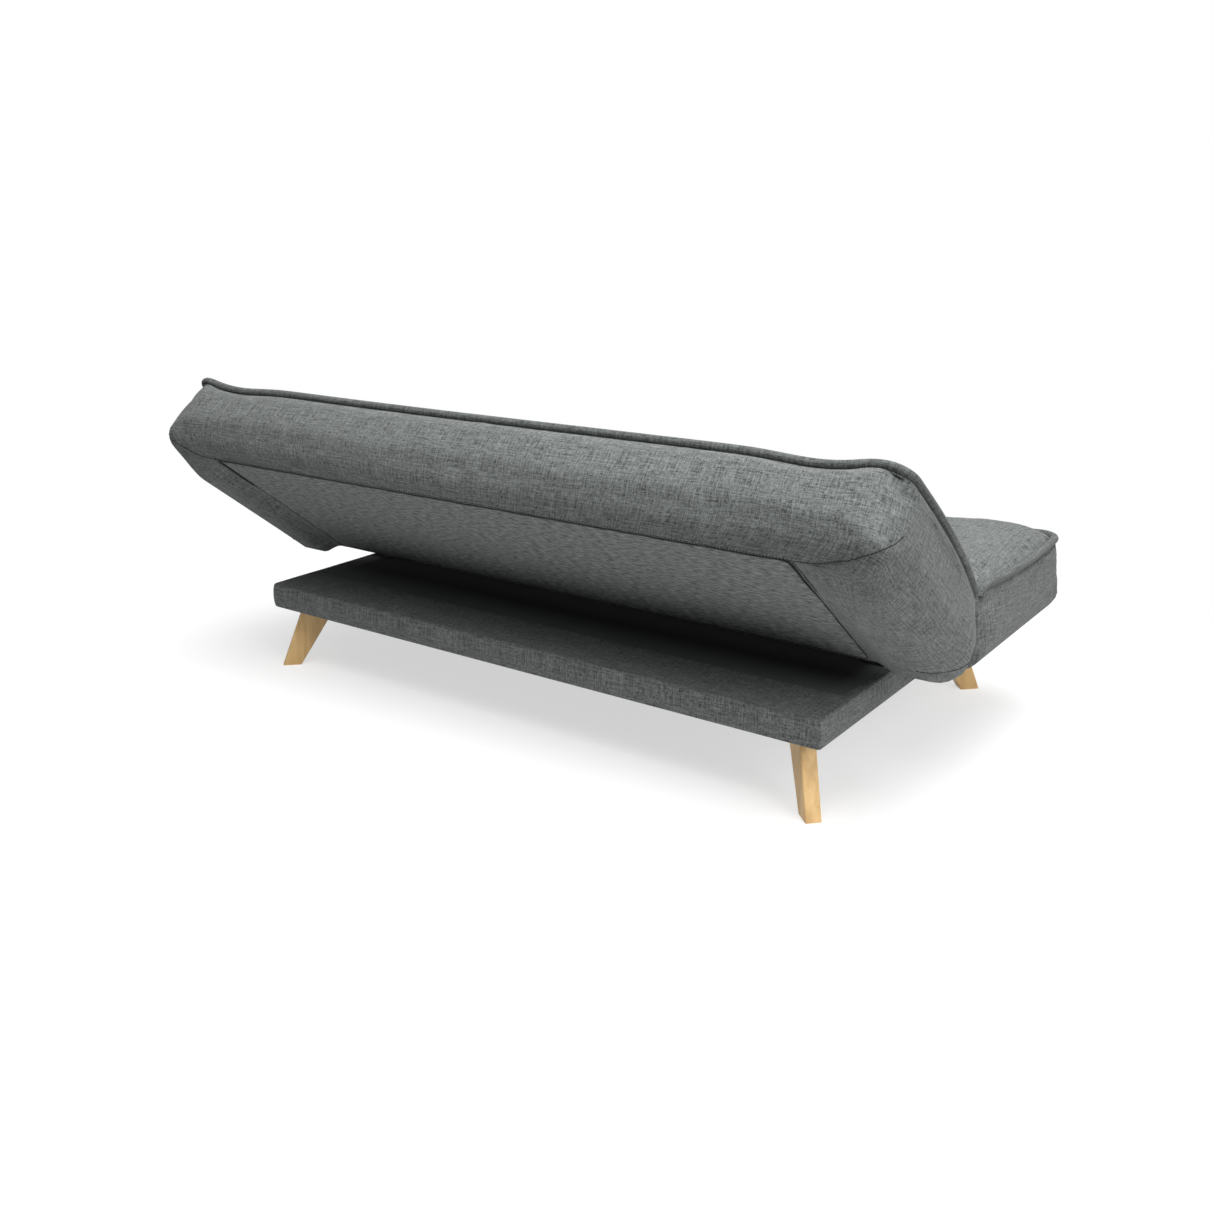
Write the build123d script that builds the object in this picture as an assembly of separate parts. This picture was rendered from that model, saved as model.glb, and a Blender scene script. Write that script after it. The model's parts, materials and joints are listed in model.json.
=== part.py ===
"""Three-position sofa bed: two piped cushions on a click-clack ratchet hinge over a low padded base.

Millimetres. +X runs along the sofa, the sitter faces -Y, +Z is up, and the floor is z = 0.
Left and right are as seen from the front: right is +X. The origin is under the middle of the part.
"""

import math
import os

from build123d import *

# Base platform: it follows the cushions, so its plan is given as margins from them and from the hinge
base_end_margin = 147.5
base_front_margin = 21.5
base_behind_hinge = 340.0
base_thickness = 60.0
base_corner_radius = 14.0
base_top_edge_radius = 10.0
base_cover_side = 4.0
base_cover_top = 5.0
base_hem_width = 35.0
base_hem_thickness = 1.5
base_deck_thickness = 9.0
rail_thickness = 25.0
hinge_rail_thickness = 60.0
stretcher_thickness = 40.0
stretcher_offset = 370.0

# Legs
leg_height = 150.0
leg_top_length = 82.0
leg_foot_length = 45.0
leg_width = 32.0
leg_splay = 77.0
leg_inset = 77.6
leg_edge_radius = 3.0
leg_block_length = 120.0
leg_block_width = 74.0
leg_bolt_radius = 4.0
leg_bolt_depth = 38.0
leg_bolt_height = 42.0

# Cushions, the same for seat and back; the ledge is the top of the boxing, where the piping lies
cushion_width = 1775.0
cushion_reach = 506.5
cushion_thickness = 183.5
cushion_crown = 22.0
crown_end_run = 190.0
crown_cross_run = 140.0
crown_fullness = 3.0
cushion_end_bulge = 24.0
cushion_outer_bulge = 28.0
cushion_low_round = 40.0
cushion_hinge_gap = 3.0
cushion_hinge_round = 48.0
cushion_hinge_low_round = 15.0
cushion_corner_radius = 40.0
cushion_outer_drawn_in = 9.0
cushion_end_drawn_in = 5.0
low_draw_share = 0.2
cover_thickness = 2.5
soft_clearance = 0.3
piping_radius = 6.5
panel_end_margin = 160.0
panel_outer_margin = 27.5
panel_hinge_inset = 22.0
panel_thickness = 2.5

# Steel frames and sprung slats inside the cushions
tube_size = 25.0
tube_wall = 1.5
frame_end_margin = 172.5
frame_outer_margin = 49.5
frame_hinge_inset = 32.0
cross_tube_offset = 240.0
slat_count = 10
slat_width = 62.0
slat_thickness = 10.0
slat_end_overlap = 20.0

# Hinge positions
hinge_below_ledge = 23.5
recline_angle = 38.0
upright_angle = 65.0
seat_lift_angle = 20.0
seat_rest_gap = 0.3

# Hinge plates and brackets
arm_thickness = 4.0
plate_gap = 0.3
arm_boss_radius = 15.0
arm_edge_inset = 0.5
arm_tail_length = 130.0
bracket_thickness = 5.0
bracket_width = 30.0
bracket_foot_length = 50.0
bracket_corner_radius = 6.0
hinge_pocket_reach = 84.0
hinge_pocket_margin = 3.0

# Ratchet and pawl: angles are measured at the hinge axis, 0 along +Y, with the back lying flat
ratchet_thickness = 6.0
ratchet_hub_radius = 15.0
ratchet_root_radius = 32.5
ratchet_tooth_radius = 40.0
ratchet_notch_angle = 12.0
ratchet_open_angle = 7.0
pawl_thickness = 5.0
pawl_nose_width = 5.0
pawl_nose_length = 18.0
pawl_nose_angle = -100.0
pawl_pin_angle = -146.0
pawl_pin_distance = 57.0
pawl_pin_radius = 4.0
pawl_eye_radius = 9.0
pawl_neck_radius = 4.5
pawl_travel = 15.0
pawl_tip_clearance = 0.8
pin_cap_radius = 7.0
pin_cap_thickness = 2.0
leaf_half_length = 9.0
leaf_bow = 1.0
leaf_thickness = 0.8

# Fasteners
pivot_radius = 5.0
pivot_clearance = 0.05
pivot_head_radius = 9.0
pivot_head_height = 6.0
pivot_nut_height = 8.0
washer_thickness = 2.0
washer_radius = 11.0
arm_bolt_radius = 4.0
arm_bolt_head_radius = 7.0
arm_bolt_head_height = 5.0
arm_bolt_length = 14.0
arm_bolt_first = 45.0
arm_bolt_spacing = 60.0
screw_radius = 2.5
screw_head_radius = 4.5
screw_head_height = 3.0
screw_length = 40.0
screw_edge = 10.0
screw_spacing = 20.0
hole_clearance = 0.05

# How finely the stuffed shapes are drawn: angles round their rolled edges, steps up their crown
roll_angles = (0, 35, 65, 90)
crown_steps = (0.0, 0.18, 0.5, 1.0)

# Heights and planes that follow from the sizes above, with the hinge axis at y = 0
base_bottom = leg_height
base_top = base_bottom + base_thickness
panel_plane = base_top + seat_rest_gap
hinge_level = cushion_thickness - hinge_below_ledge
hinge_height = panel_plane + hinge_level
base_width = cushion_width - 2 * base_end_margin
base_front = -cushion_reach - base_front_margin
base_rear = base_behind_hinge
base_depth = base_rear - base_front
base_middle = (base_front + base_rear) / 2
deck_top = base_top - base_cover_top
rail_top = deck_top - base_deck_thickness
rail_bottom = base_bottom + base_hem_thickness
inner_width = base_width - 2 * base_cover_side
inner_depth = base_depth - 2 * base_cover_side
inner_corner_radius = base_corner_radius - base_cover_side
panel_width = cushion_width - 2 * panel_end_margin
panel_length = cushion_reach - panel_outer_margin - panel_hinge_inset
frame_width = cushion_width - 2 * frame_end_margin
frame_length = cushion_reach - frame_outer_margin - frame_hinge_inset
frame_low = panel_thickness
frame_high = frame_low + tube_size

# Sideways stack of the right-hand hinge, outwards from the seat frame's outer face
seat_arm_x = frame_width / 2
bracket_outer = seat_arm_x - plate_gap
bracket_x = bracket_outer - bracket_thickness
back_arm_x = seat_arm_x + arm_thickness + plate_gap
back_frame_width = 2 * back_arm_x
ratchet_x = back_arm_x + arm_thickness
ratchet_outer = ratchet_x + ratchet_thickness
pawl_x = ratchet_x + (ratchet_thickness - pawl_thickness) / 2
pawl_outer = pawl_x + pawl_thickness
nut_face = ratchet_outer + plate_gap + washer_thickness
head_face = bracket_x - washer_thickness
arm_level = (frame_low + frame_high) / 2 - hinge_level
arm_heel_radius = tube_size / 2 - arm_edge_inset
arm_heel = frame_hinge_inset + arm_heel_radius
arm_bolt_places = (arm_heel + arm_bolt_first, arm_heel + arm_bolt_first + arm_bolt_spacing)
screw_places = (
    bracket_outer - bracket_foot_length + screw_edge,
    bracket_outer - bracket_foot_length + screw_edge + screw_spacing,
)

parts = {}


def block(x_range, y_range, z_range):
    """A box between two corners."""
    low = (x_range[0], y_range[0], z_range[0])
    size = (x_range[1] - x_range[0], y_range[1] - y_range[0], z_range[1] - z_range[0])
    return Pos(*low) * Box(*size, align=(Align.MIN, Align.MIN, Align.MIN))


def post(radius, x, y, z_range):
    """A cylinder along Z."""
    height = z_range[1] - z_range[0]
    return Pos(x, y, z_range[0]) * Cylinder(radius, height, align=(Align.CENTER, Align.CENTER, Align.MIN))


def rod(radius, x_range, y, z):
    """A cylinder along X."""
    upright = post(radius, 0, 0, (0, x_range[1] - x_range[0]))
    return Pos(x_range[0], y, z) * (Rot(0, 90, 0) * upright)


def plate(outline, x_range):
    """A flat plate: an outline drawn in (y, z) from the hinge axis, raised along X."""
    raised = extrude(outline, x_range[1] - x_range[0])
    return Pos(x_range[0], 0, hinge_height) * (Rot(0, 0, 90) * (Rot(90, 0, 0) * raised))


def disc(radius, y, z):
    """A round outline for plate()."""
    return Pos(y, z) * Circle(radius)


def hull(*discs):
    """The tight outline round several discs, as a stamped link has."""
    return make_hull([edge for d in discs for edge in d.edges()])


def polar(radius, degrees):
    """A point at that distance and angle from the hinge axis, as (y, z)."""
    return radius * math.cos(math.radians(degrees)), radius * math.sin(math.radians(degrees))


def group(pieces):
    """Several like pieces as one node of separate solids."""
    return Compound([solid for piece in pieces for solid in piece.solids()])


def both_sides(right_part):
    """The right-hand piece and its mirror image as one group of solids."""
    return group([right_part, mirror(right_part, Plane.YZ)])


def keep_pair(name, right_part):
    """Stores a right-hand piece and its mirror image as two nodes."""
    parts[name + "_right"] = right_part
    parts[name + "_left"] = mirror(right_part, Plane.YZ)


# Base

def base_outline(width, depth, radius):
    return Pos(0, base_middle) * RectangleRounded(width, depth, radius)


def leg_place(side, end):
    """Middle of a leg's top: side is +1 right, -1 left; end is +1 rear, -1 front."""
    return side * (base_width / 2 - leg_inset), base_middle + end * (base_depth / 2 - leg_inset)


def make_base_frame():
    """Rails, stretchers, corner blocks and deck, all in the cover's inner outline."""
    rails_z = (rail_bottom, rail_top)
    inner = base_outline(inner_width, inner_depth, inner_corner_radius)
    stock = Pos(0, 0, rail_bottom) * extrude(inner, rail_top - rail_bottom)
    half = inner_width / 2
    inside = half - rail_thickness
    front, rear = base_front + base_cover_side, base_rear - base_cover_side
    between = (front + rail_thickness, rear - rail_thickness)
    end_rail = block((inside, half), between, rails_z)
    hinge_half = hinge_rail_thickness / 2
    hinge_rail = block((-inside, inside), (-hinge_half, hinge_half), rails_z)
    stretchers = []
    for x in (-stretcher_offset, stretcher_offset):
        across = (x - stretcher_thickness / 2, x + stretcher_thickness / 2)
        stretchers.append(block(across, (between[0], -hinge_half), rails_z))
        stretchers.append(block(across, (hinge_half, between[1]), rails_z))
    corner_room = block((-inside, inside), between, rails_z)
    blocks = []
    for side in (-1, 1):
        for end in (-1, 1):
            x, y = leg_place(side, end)
            turned = Rot(0, 0, 45 * side * end) * Rectangle(leg_block_length, leg_block_width)
            corner = Pos(x, y, rail_bottom) * extrude(turned, rail_top - rail_bottom)
            hole = post(leg_bolt_radius + hole_clearance, x, y, rails_z)
            blocks.append((corner & corner_room) - hole)
    parts["base_front_rail"] = stock & block((-half, half), (front, between[0]), rails_z)
    parts["base_rear_rail"] = stock & block((-half, half), (between[1], rear), rails_z)
    parts["base_right_rail"] = end_rail
    parts["base_left_rail"] = mirror(end_rail, Plane.YZ)
    parts["base_hinge_rail"] = hinge_rail
    parts["base_stretchers"] = group(stretchers)
    parts["leg_blocks"] = group(blocks)
    parts["base_deck"] = Pos(0, 0, rail_top) * extrude(inner, base_deck_thickness)


def make_base_covers():
    """The upholstered shell with its turned-under hem, and the dust cover inside the hem."""
    outline = base_outline(base_width, base_depth, base_corner_radius)
    shell = Pos(0, 0, base_bottom) * extrude(outline, base_thickness)
    shell = fillet(shell.faces().sort_by(Axis.Z)[-1].edges(), base_top_edge_radius)
    inner = base_outline(inner_width, inner_depth, inner_corner_radius)
    cavity = Pos(0, 0, rail_bottom) * extrude(inner, deck_top - rail_bottom)
    hem = 2 * (base_cover_side + base_hem_width)
    mouth = base_outline(base_width - hem, base_depth - hem, inner_corner_radius)
    opening = Pos(0, 0, base_bottom) * extrude(mouth, base_hem_thickness)
    parts["base_cover"] = shell - cavity - opening
    parts["base_dust_cover"] = opening


def make_base_fasteners():
    """Leg bolts and bracket screws, with their holes in what they pass through."""
    bolts = []
    for side in (-1, 1):
        for end in (-1, 1):
            x, y = leg_place(side, end)
            span = (base_bottom - leg_bolt_depth, base_bottom + leg_bolt_height)
            bolts.append(post(leg_bolt_radius, x, y, span))
            hole = post(leg_bolt_radius + hole_clearance, x, y, (base_bottom, rail_bottom))
            parts["base_dust_cover"] = parts["base_dust_cover"] - hole
            parts["base_cover"] = parts["base_cover"] - hole
    foot_top = base_top + bracket_thickness
    screws, holes = [], []
    for x in screw_places:
        depth = (foot_top - screw_length, foot_top)
        head = post(screw_head_radius, x, 0, (foot_top, foot_top + screw_head_height))
        screws.append(post(screw_radius, x, 0, depth) + head)
        holes.append(post(screw_radius + hole_clearance, x, 0, depth))
    for name in ("base_cover", "base_deck", "base_hinge_rail"):
        for hole in both_sides(group(holes)).solids():
            parts[name] = parts[name] - hole
    parts["leg_bolts"] = group(bolts)
    parts["bracket_screws"] = both_sides(group(screws))


def make_legs():
    """Legs set at 45 degrees under the corners, tapered and splayed outwards along the diagonal."""
    shift = leg_splay / math.sqrt(2)
    for side, side_name in ((1, "right"), (-1, "left")):
        for end, end_name in ((1, "rear"), (-1, "front")):
            x, y = leg_place(side, end)
            turn = Rot(0, 0, 45 * side * end)
            top = Pos(x, y, leg_height) * (turn * Rectangle(leg_top_length, leg_width))
            foot = Pos(x + side * shift, y + end * shift) * (turn * Rectangle(leg_foot_length, leg_width))
            leg = loft([foot, top], ruled=True)
            long_edges = leg.edges().filter_by(lambda e: abs(e.tangent_at(0.5).Z) > 0.5)
            leg = fillet(long_edges, leg_edge_radius)
            socket = post(leg_bolt_radius + hole_clearance, x, y, (leg_height - leg_bolt_depth, leg_height))
            parts[f"leg_{end_name}_{side_name}"] = leg - socket


# Cushions: drawn lying flat, hinge axis at y = 0, outer edge towards +y, underside panel at z = 0

def cushion_section(half_width, hinge_edge, outer_edge, radius, drawn_in, level):
    """A rounded outline whose ends and outer side are drawn in by a share of their full amount."""
    middle = (hinge_edge + outer_edge) / 2
    hinge_right, outer_right = (half_width, hinge_edge), (half_width, outer_edge)
    hinge_left, outer_left = (-half_width, hinge_edge), (-half_width, outer_edge)
    end_middle = half_width - drawn_in * cushion_end_drawn_in
    outer_middle = outer_edge - drawn_in * cushion_outer_drawn_in
    face = make_face([
        Line(hinge_left, hinge_right),
        ThreePointArc(hinge_right, (end_middle, middle), outer_right),
        ThreePointArc(outer_right, (0, outer_middle), outer_left),
        ThreePointArc(outer_left, (-end_middle, middle), hinge_left),
    ])
    return Pos(0, 0, level) * fillet(face.vertices(), radius)


def boxing_sections(inset):
    """Outlines up a cushion's sides: rounded underside edge, swelling boxing, rolled hinge edge, ledge."""
    top = cushion_thickness
    radius = cushion_corner_radius - inset
    sections = []

    def add(level, low_in, hinge_edge, drawn_in):
        swell = math.cos(math.pi / 2 * level / top)
        half = cushion_width / 2 + cushion_end_bulge * swell - low_in
        outer = cushion_reach + cushion_outer_bulge * swell - low_in
        height = inset + level * (top - 2 * inset) / top
        sections.append(
            cushion_section(half - inset, hinge_edge + inset, outer - inset, radius, drawn_in, height)
        )

    for angle in roll_angles:
        short = 1 - math.sin(math.radians(angle))
        level = cushion_low_round * (1 - math.cos(math.radians(angle)))
        hinge_edge = cushion_hinge_gap + cushion_hinge_low_round * short
        add(level, cushion_low_round * short, hinge_edge, low_draw_share)
    for angle in roll_angles:
        level = top - cushion_hinge_round * (1 - math.sin(math.radians(angle)))
        hinge_edge = cushion_hinge_gap + cushion_hinge_round * (1 - math.cos(math.radians(angle)))
        drawn_in = low_draw_share + (1 - low_draw_share) * math.sin(math.radians(angle))
        add(level, 0, hinge_edge, drawn_in)
    return sections


def crown_sections(inset):
    """Outlines of the domed face inside the piping."""
    seam_in = 2 * (piping_radius + soft_clearance) + inset
    base_level = cushion_thickness - inset
    sections = []
    for share in crown_steps:
        rise = 1 - (1 - share) ** crown_fullness
        sections.append(cushion_section(
            cushion_width / 2 - seam_in - share * crown_end_run,
            cushion_hinge_gap + cushion_hinge_round + inset + share * crown_cross_run,
            cushion_reach - seam_in - share * crown_cross_run,
            cushion_corner_radius - inset,
            1 - (1 - low_draw_share) * rise,
            base_level + rise * cushion_crown,
        ))
    return sections


def cushion_form(inset):
    """The stuffed shape, smaller by inset all round."""
    return loft(boxing_sections(inset)) + loft(crown_sections(inset))


def piping_path():
    """The line of the piping on the ledge: along both ends and the outer side, open at the hinge."""
    half = cushion_width / 2 - piping_radius
    outer = cushion_reach - piping_radius
    start = cushion_hinge_gap + cushion_hinge_round + piping_radius
    middle = (start + outer) / 2
    radius = cushion_corner_radius - piping_radius
    wire = Wire([
        ThreePointArc((half, start), (half - cushion_end_drawn_in, middle), (half, outer)),
        ThreePointArc((half, outer), (0, outer - cushion_outer_drawn_in), (-half, outer)),
        ThreePointArc((-half, outer), (-half + cushion_end_drawn_in, middle), (-half, start)),
    ])
    corners = [v for v in wire.vertices() if v.Y > middle]
    rounded = wire.fillet_2d(radius, corners)
    return Pos(0, 0, cushion_thickness + piping_radius + soft_clearance) * rounded


def piping():
    path = piping_path()
    start = Plane(origin=path @ 0, z_dir=path % 0)
    return sweep(start * Circle(piping_radius), path)


def welded_frame(width):
    """A rectangle of square tube with two cross tubes, hollow inside."""

    def ladder(shrink):
        half = width / 2 - shrink
        near, far = frame_hinge_inset + shrink, frame_hinge_inset + frame_length - shrink
        bar = tube_size - 2 * shrink
        levels = (frame_low + shrink, frame_high - shrink)
        ring = block((-half, half), (near, far), levels)
        ring = ring - block((-half + bar, half - bar), (near + bar, far - bar), levels)
        for x in (-cross_tube_offset, cross_tube_offset):
            ring = ring + block((x - bar / 2, x + bar / 2), (near, far), levels)
        return ring

    return ladder(0) - ladder(tube_wall)


def sprung_slats(width):
    """Slats that rest on the long tubes, evenly spread between the side tubes."""
    span = width - 2 * tube_size - slat_width
    near = frame_hinge_inset + tube_size - slat_end_overlap
    far = frame_hinge_inset + frame_length - tube_size + slat_end_overlap
    levels = (frame_high, frame_high + slat_thickness)
    slats = []
    for i in range(slat_count):
        x = -span / 2 + span * i / (slat_count - 1)
        slats.append(block((x - slat_width / 2, x + slat_width / 2), (near, far), levels))
    return group(slats)


def hinge_pockets():
    """Clear slots in a cushion's hinge side for the plates, ratchet and pawl."""
    low = bracket_outer - bracket_foot_length - hinge_pocket_margin
    high = nut_face + pivot_nut_height + hinge_pocket_margin
    roof = hinge_level + arm_boss_radius + hinge_pocket_margin
    return both_sides(block((low, high), (-cushion_hinge_gap, hinge_pocket_reach), (0, roof))).solids()


def make_cushion(width):
    """The pieces of one cushion lying flat, keyed by their plain names."""
    panel_span = (-panel_width / 2, panel_width / 2), (panel_hinge_inset, panel_hinge_inset + panel_length)
    cover = cushion_form(0) - cushion_form(cover_thickness) - block(*panel_span, (0, cover_thickness))
    room = width / 2 + arm_thickness + arm_bolt_head_height + soft_clearance
    frame_room = block(
        (-room, room),
        (frame_hinge_inset - soft_clearance, frame_hinge_inset + frame_length + soft_clearance),
        (0, frame_high + slat_thickness + soft_clearance),
    )
    foam = cushion_form(cover_thickness + soft_clearance) - frame_room
    for pocket in hinge_pockets():
        cover = cover - pocket
        foam = foam - pocket
    return {
        "cover": cover,
        "piping": piping(),
        "panel": block(*panel_span, (0, panel_thickness)),
        "foam": foam,
        "frame": welded_frame(width),
        "slats": sprung_slats(width),
    }


def arm_bolts(arm_x, direction):
    """Bolts through a right-hand arm into its side tube; direction is +1 for the back, -1 for the seat."""
    bolts, holes = [], []
    outer = arm_x + arm_thickness
    shank = (outer - arm_bolt_length, outer)
    for place in arm_bolt_places:
        y, z = direction * place, hinge_height + arm_level
        head = rod(arm_bolt_head_radius, (outer, outer + arm_bolt_head_height), y, z)
        bolts.append(head + rod(arm_bolt_radius, shank, y, z))
        holes.append(rod(arm_bolt_radius + hole_clearance, shank, y, z))
    return both_sides(group(bolts)), both_sides(group(holes))


def make_cushions():
    for body, width, arm_x, direction, turn, panel_name in (
        ("seat", frame_width, seat_arm_x, -1, 180, "seat_underside_panel"),
        ("back", back_frame_width, back_arm_x, 1, 0, "back_rear_panel"),
    ):
        place = Pos(0, 0, panel_plane) * Rot(0, 0, turn)
        pieces = make_cushion(width)
        bolts, holes = arm_bolts(arm_x, direction)
        for key in ("cover", "piping", "foam", "frame", "slats"):
            parts[f"{body}_{key}"] = place * pieces[key]
        for hole in holes.solids():
            parts[f"{body}_frame"] = parts[f"{body}_frame"] - hole
        parts[panel_name] = place * pieces["panel"]
        parts[f"{body}_arm_bolts"] = bolts


# Hinge

def arm_outline(*gusset):
    """A stamped arm in (distance from hinge towards its cushion, height): boss, leg, tail on the tube."""
    heel = disc(arm_heel_radius, arm_heel, arm_level)
    tail = disc(arm_heel_radius, arm_heel + arm_tail_length, arm_level)
    outline = hull(disc(arm_boss_radius, 0, 0), heel, *gusset) + hull(heel, tail)
    outline = outline - disc(pivot_radius + pivot_clearance, 0, 0)
    for place in arm_bolt_places:
        outline = outline - disc(arm_bolt_radius + hole_clearance, place, arm_level)
    return outline


def wedge(radius, low, high):
    """The part of a disc that passes the pawl while the back turns from low to high degrees."""
    first, last = pawl_nose_angle - high, pawl_nose_angle - low
    start, end = polar(radius, first), polar(radius, last)
    rim = ThreePointArc(start, polar(radius, (first + last) / 2), end)
    return make_face([Line((0, 0), start), rim, Line(end, (0, 0))])


def ratchet_outline():
    """Hub and toothed sector with the back flat: open there, a notch per set angle, open past upright."""
    notch = ratchet_notch_angle / 2
    release = upright_angle + seat_lift_angle
    outline = disc(ratchet_hub_radius, 0, 0)
    outline = outline + wedge(ratchet_root_radius, -ratchet_open_angle, release + ratchet_open_angle)
    for low, high in (
        (seat_lift_angle + ratchet_open_angle, recline_angle - notch),
        (recline_angle + notch, upright_angle - notch),
        (upright_angle + notch, release - ratchet_open_angle),
    ):
        outline = outline + wedge(ratchet_tooth_radius, low, high)
    return outline - disc(pivot_radius + pivot_clearance, 0, 0)


def pawl_points():
    """Pin, neck and tip of the pawl held clear of the teeth, and its nose's way out from the hinge."""
    pin = Vector(*polar(pawl_pin_distance, pawl_pin_angle))
    reach = Vector(*polar(ratchet_root_radius + pawl_tip_clearance, pawl_nose_angle)) - pin
    tip = pin + reach.rotate(Axis.Z, -pawl_travel)
    outward = Vector(*polar(1, pawl_nose_angle - pawl_travel))
    return pin, tip + outward * pawl_nose_length, tip, outward


def pawl_outline():
    """An eye on the pin, a body, and a straight nose; turned by pawl_travel the nose is home in a notch."""
    pin, neck, tip, outward = pawl_points()
    across = Vector(-outward.Y, outward.X) * (pawl_nose_width / 2)
    corners = (tip + across, tip - across, neck - across, neck + across)
    nose = make_face(Polyline(*[(p.X, p.Y) for p in corners], close=True))
    body = hull(disc(pin_cap_radius, pin.X, pin.Y), disc(pawl_neck_radius, neck.X, neck.Y))
    outline = disc(pawl_eye_radius, pin.X, pin.Y) + body + nose
    return outline - disc(pawl_pin_radius + hole_clearance, pin.X, pin.Y)


def leaf_outline():
    """A bowed leaf spring under the pawl's body."""
    pin, neck, tip, outward = pawl_points()
    along = (neck - pin).normalized()
    below = Vector(along.Y, -along.X)
    crest = (pin + neck) * 0.5 + below * ((pin_cap_radius + pawl_neck_radius) / 2 + soft_clearance)
    ends = [crest + along * (side * leaf_half_length) + below * leaf_bow for side in (-1, 1)]
    under = below * leaf_thickness
    upper = ThreePointArc(ends[0], crest, ends[1])
    lower = ThreePointArc(ends[1] + under, crest + under, ends[0] + under)
    return make_face([upper, Line(ends[1], ends[1] + under), lower, Line(ends[0] + under, ends[0])])


def make_hinge_plates():
    pin = pawl_points()[0]
    seat_outline = mirror(arm_outline(disc(arm_heel_radius, -pin.X, pin.Y)), Plane.YZ)
    seat_outline = seat_outline - disc(pawl_pin_radius + hole_clearance, pin.X, pin.Y)
    keep_pair("seat_arm", plate(seat_outline, (seat_arm_x, seat_arm_x + arm_thickness)))
    keep_pair("back_arm", plate(arm_outline(), (back_arm_x, ratchet_x)))
    keep_pair("ratchet", plate(ratchet_outline(), (ratchet_x, ratchet_outer)))
    keep_pair("pawl", plate(pawl_outline(), (pawl_x, pawl_outer)))

    floor = base_top - hinge_height
    foot_half = bracket_width / 2
    lower = Pos(0, floor + foot_half / 2) * Rectangle(bracket_width, foot_half)
    shoulder = disc(foot_half, 0, floor + foot_half)
    upright = hull(disc(arm_boss_radius, 0, 0), shoulder) + lower
    upright = upright - disc(pivot_radius + hole_clearance, 0, 0)
    foot_outline = Pos(bracket_outer - bracket_foot_length / 2, 0, base_top) * Rectangle(
        bracket_foot_length, bracket_width
    )
    inner_corners = foot_outline.vertices().sort_by(Axis.X)[:2]
    foot = extrude(fillet(inner_corners, bracket_corner_radius), bracket_thickness)
    for x in screw_places:
        foot = foot - post(screw_radius + hole_clearance, x, 0, (base_top, base_top + bracket_thickness))
    keep_pair("hinge_bracket", plate(upright, (bracket_x, bracket_outer)) + foot)


def make_hinge_fasteners():
    span = (head_face, nut_face + pivot_nut_height)
    axis = (0, hinge_height)
    bore = rod(pivot_radius + hole_clearance, span, *axis)
    head = rod(pivot_head_radius, (head_face - pivot_head_height, head_face), *axis)
    washers = [
        rod(washer_radius, (head_face, bracket_x), *axis) - bore,
        rod(washer_radius, (nut_face - washer_thickness, nut_face), *axis) - bore,
    ]
    hexagon = Rot(0, 90, 0) * extrude(RegularPolygon(pivot_head_radius, 6), pivot_nut_height)
    parts["pivot_bolts"] = both_sides(rod(pivot_radius, span, *axis) + head)
    parts["pivot_washers"] = both_sides(group(washers))
    parts["pivot_nuts"] = both_sides(Pos(nut_face, *axis) * hexagon - bore)

    pin = pawl_points()[0]
    place = (pin.X, hinge_height + pin.Y)
    pin_end = pawl_outer + soft_clearance
    cap = rod(pin_cap_radius, (pin_end, pin_end + pin_cap_thickness), *place)
    parts["pawl_pins"] = both_sides(rod(pawl_pin_radius, (seat_arm_x, pin_end), *place) + cap)
    parts["pawl_springs"] = both_sides(plate(leaf_outline(), (seat_arm_x + arm_thickness, pawl_outer)))


def recline_back():
    """Turns everything that swings with the back up to the middle ratchet position."""
    axis = Axis((0, 0, hinge_height), (1, 0, 0))
    for name in list(parts):
        if name.startswith(("back_", "ratchet_")):
            parts[name] = parts[name].rotate(axis, recline_angle)


def centre_shift():
    """How far to move everything along Y so that the origin lies under the middle of the part."""
    boxes = [piece.bounding_box() for piece in parts.values()]
    return -(min(box.min.Y for box in boxes) + max(box.max.Y for box in boxes)) / 2


def main():
    make_base_frame()
    make_base_covers()
    make_base_fasteners()
    make_legs()
    make_hinge_plates()
    make_hinge_fasteners()
    make_cushions()
    recline_back()
    shift = centre_shift()
    os.makedirs("parts", exist_ok=True)
    for name, piece in parts.items():
        export_step(Pos(0, shift, 0) * piece, f"parts/{name}.step")
    print("hinge axis at y", round(shift, 3), "z", round(hinge_height, 3))


main()
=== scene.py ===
"""Dresses a three-position sofa bed: linen cushions with piping, felt panels, padded base, honey wood legs.

Metres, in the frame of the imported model. A cushion is drawn lying flat in its own space:
x along the sofa, u away from the hinge line, w up from its underside panel.
"""

import json
import math

import bpy
import numpy as np
from bpy.props import FloatProperty, FloatVectorProperty, IntProperty, PointerProperty
from bpy.types import Operator, Panel, PropertyGroup
from mathutils import Matrix, Vector
from mathutils.bvhtree import BVHTree


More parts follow.
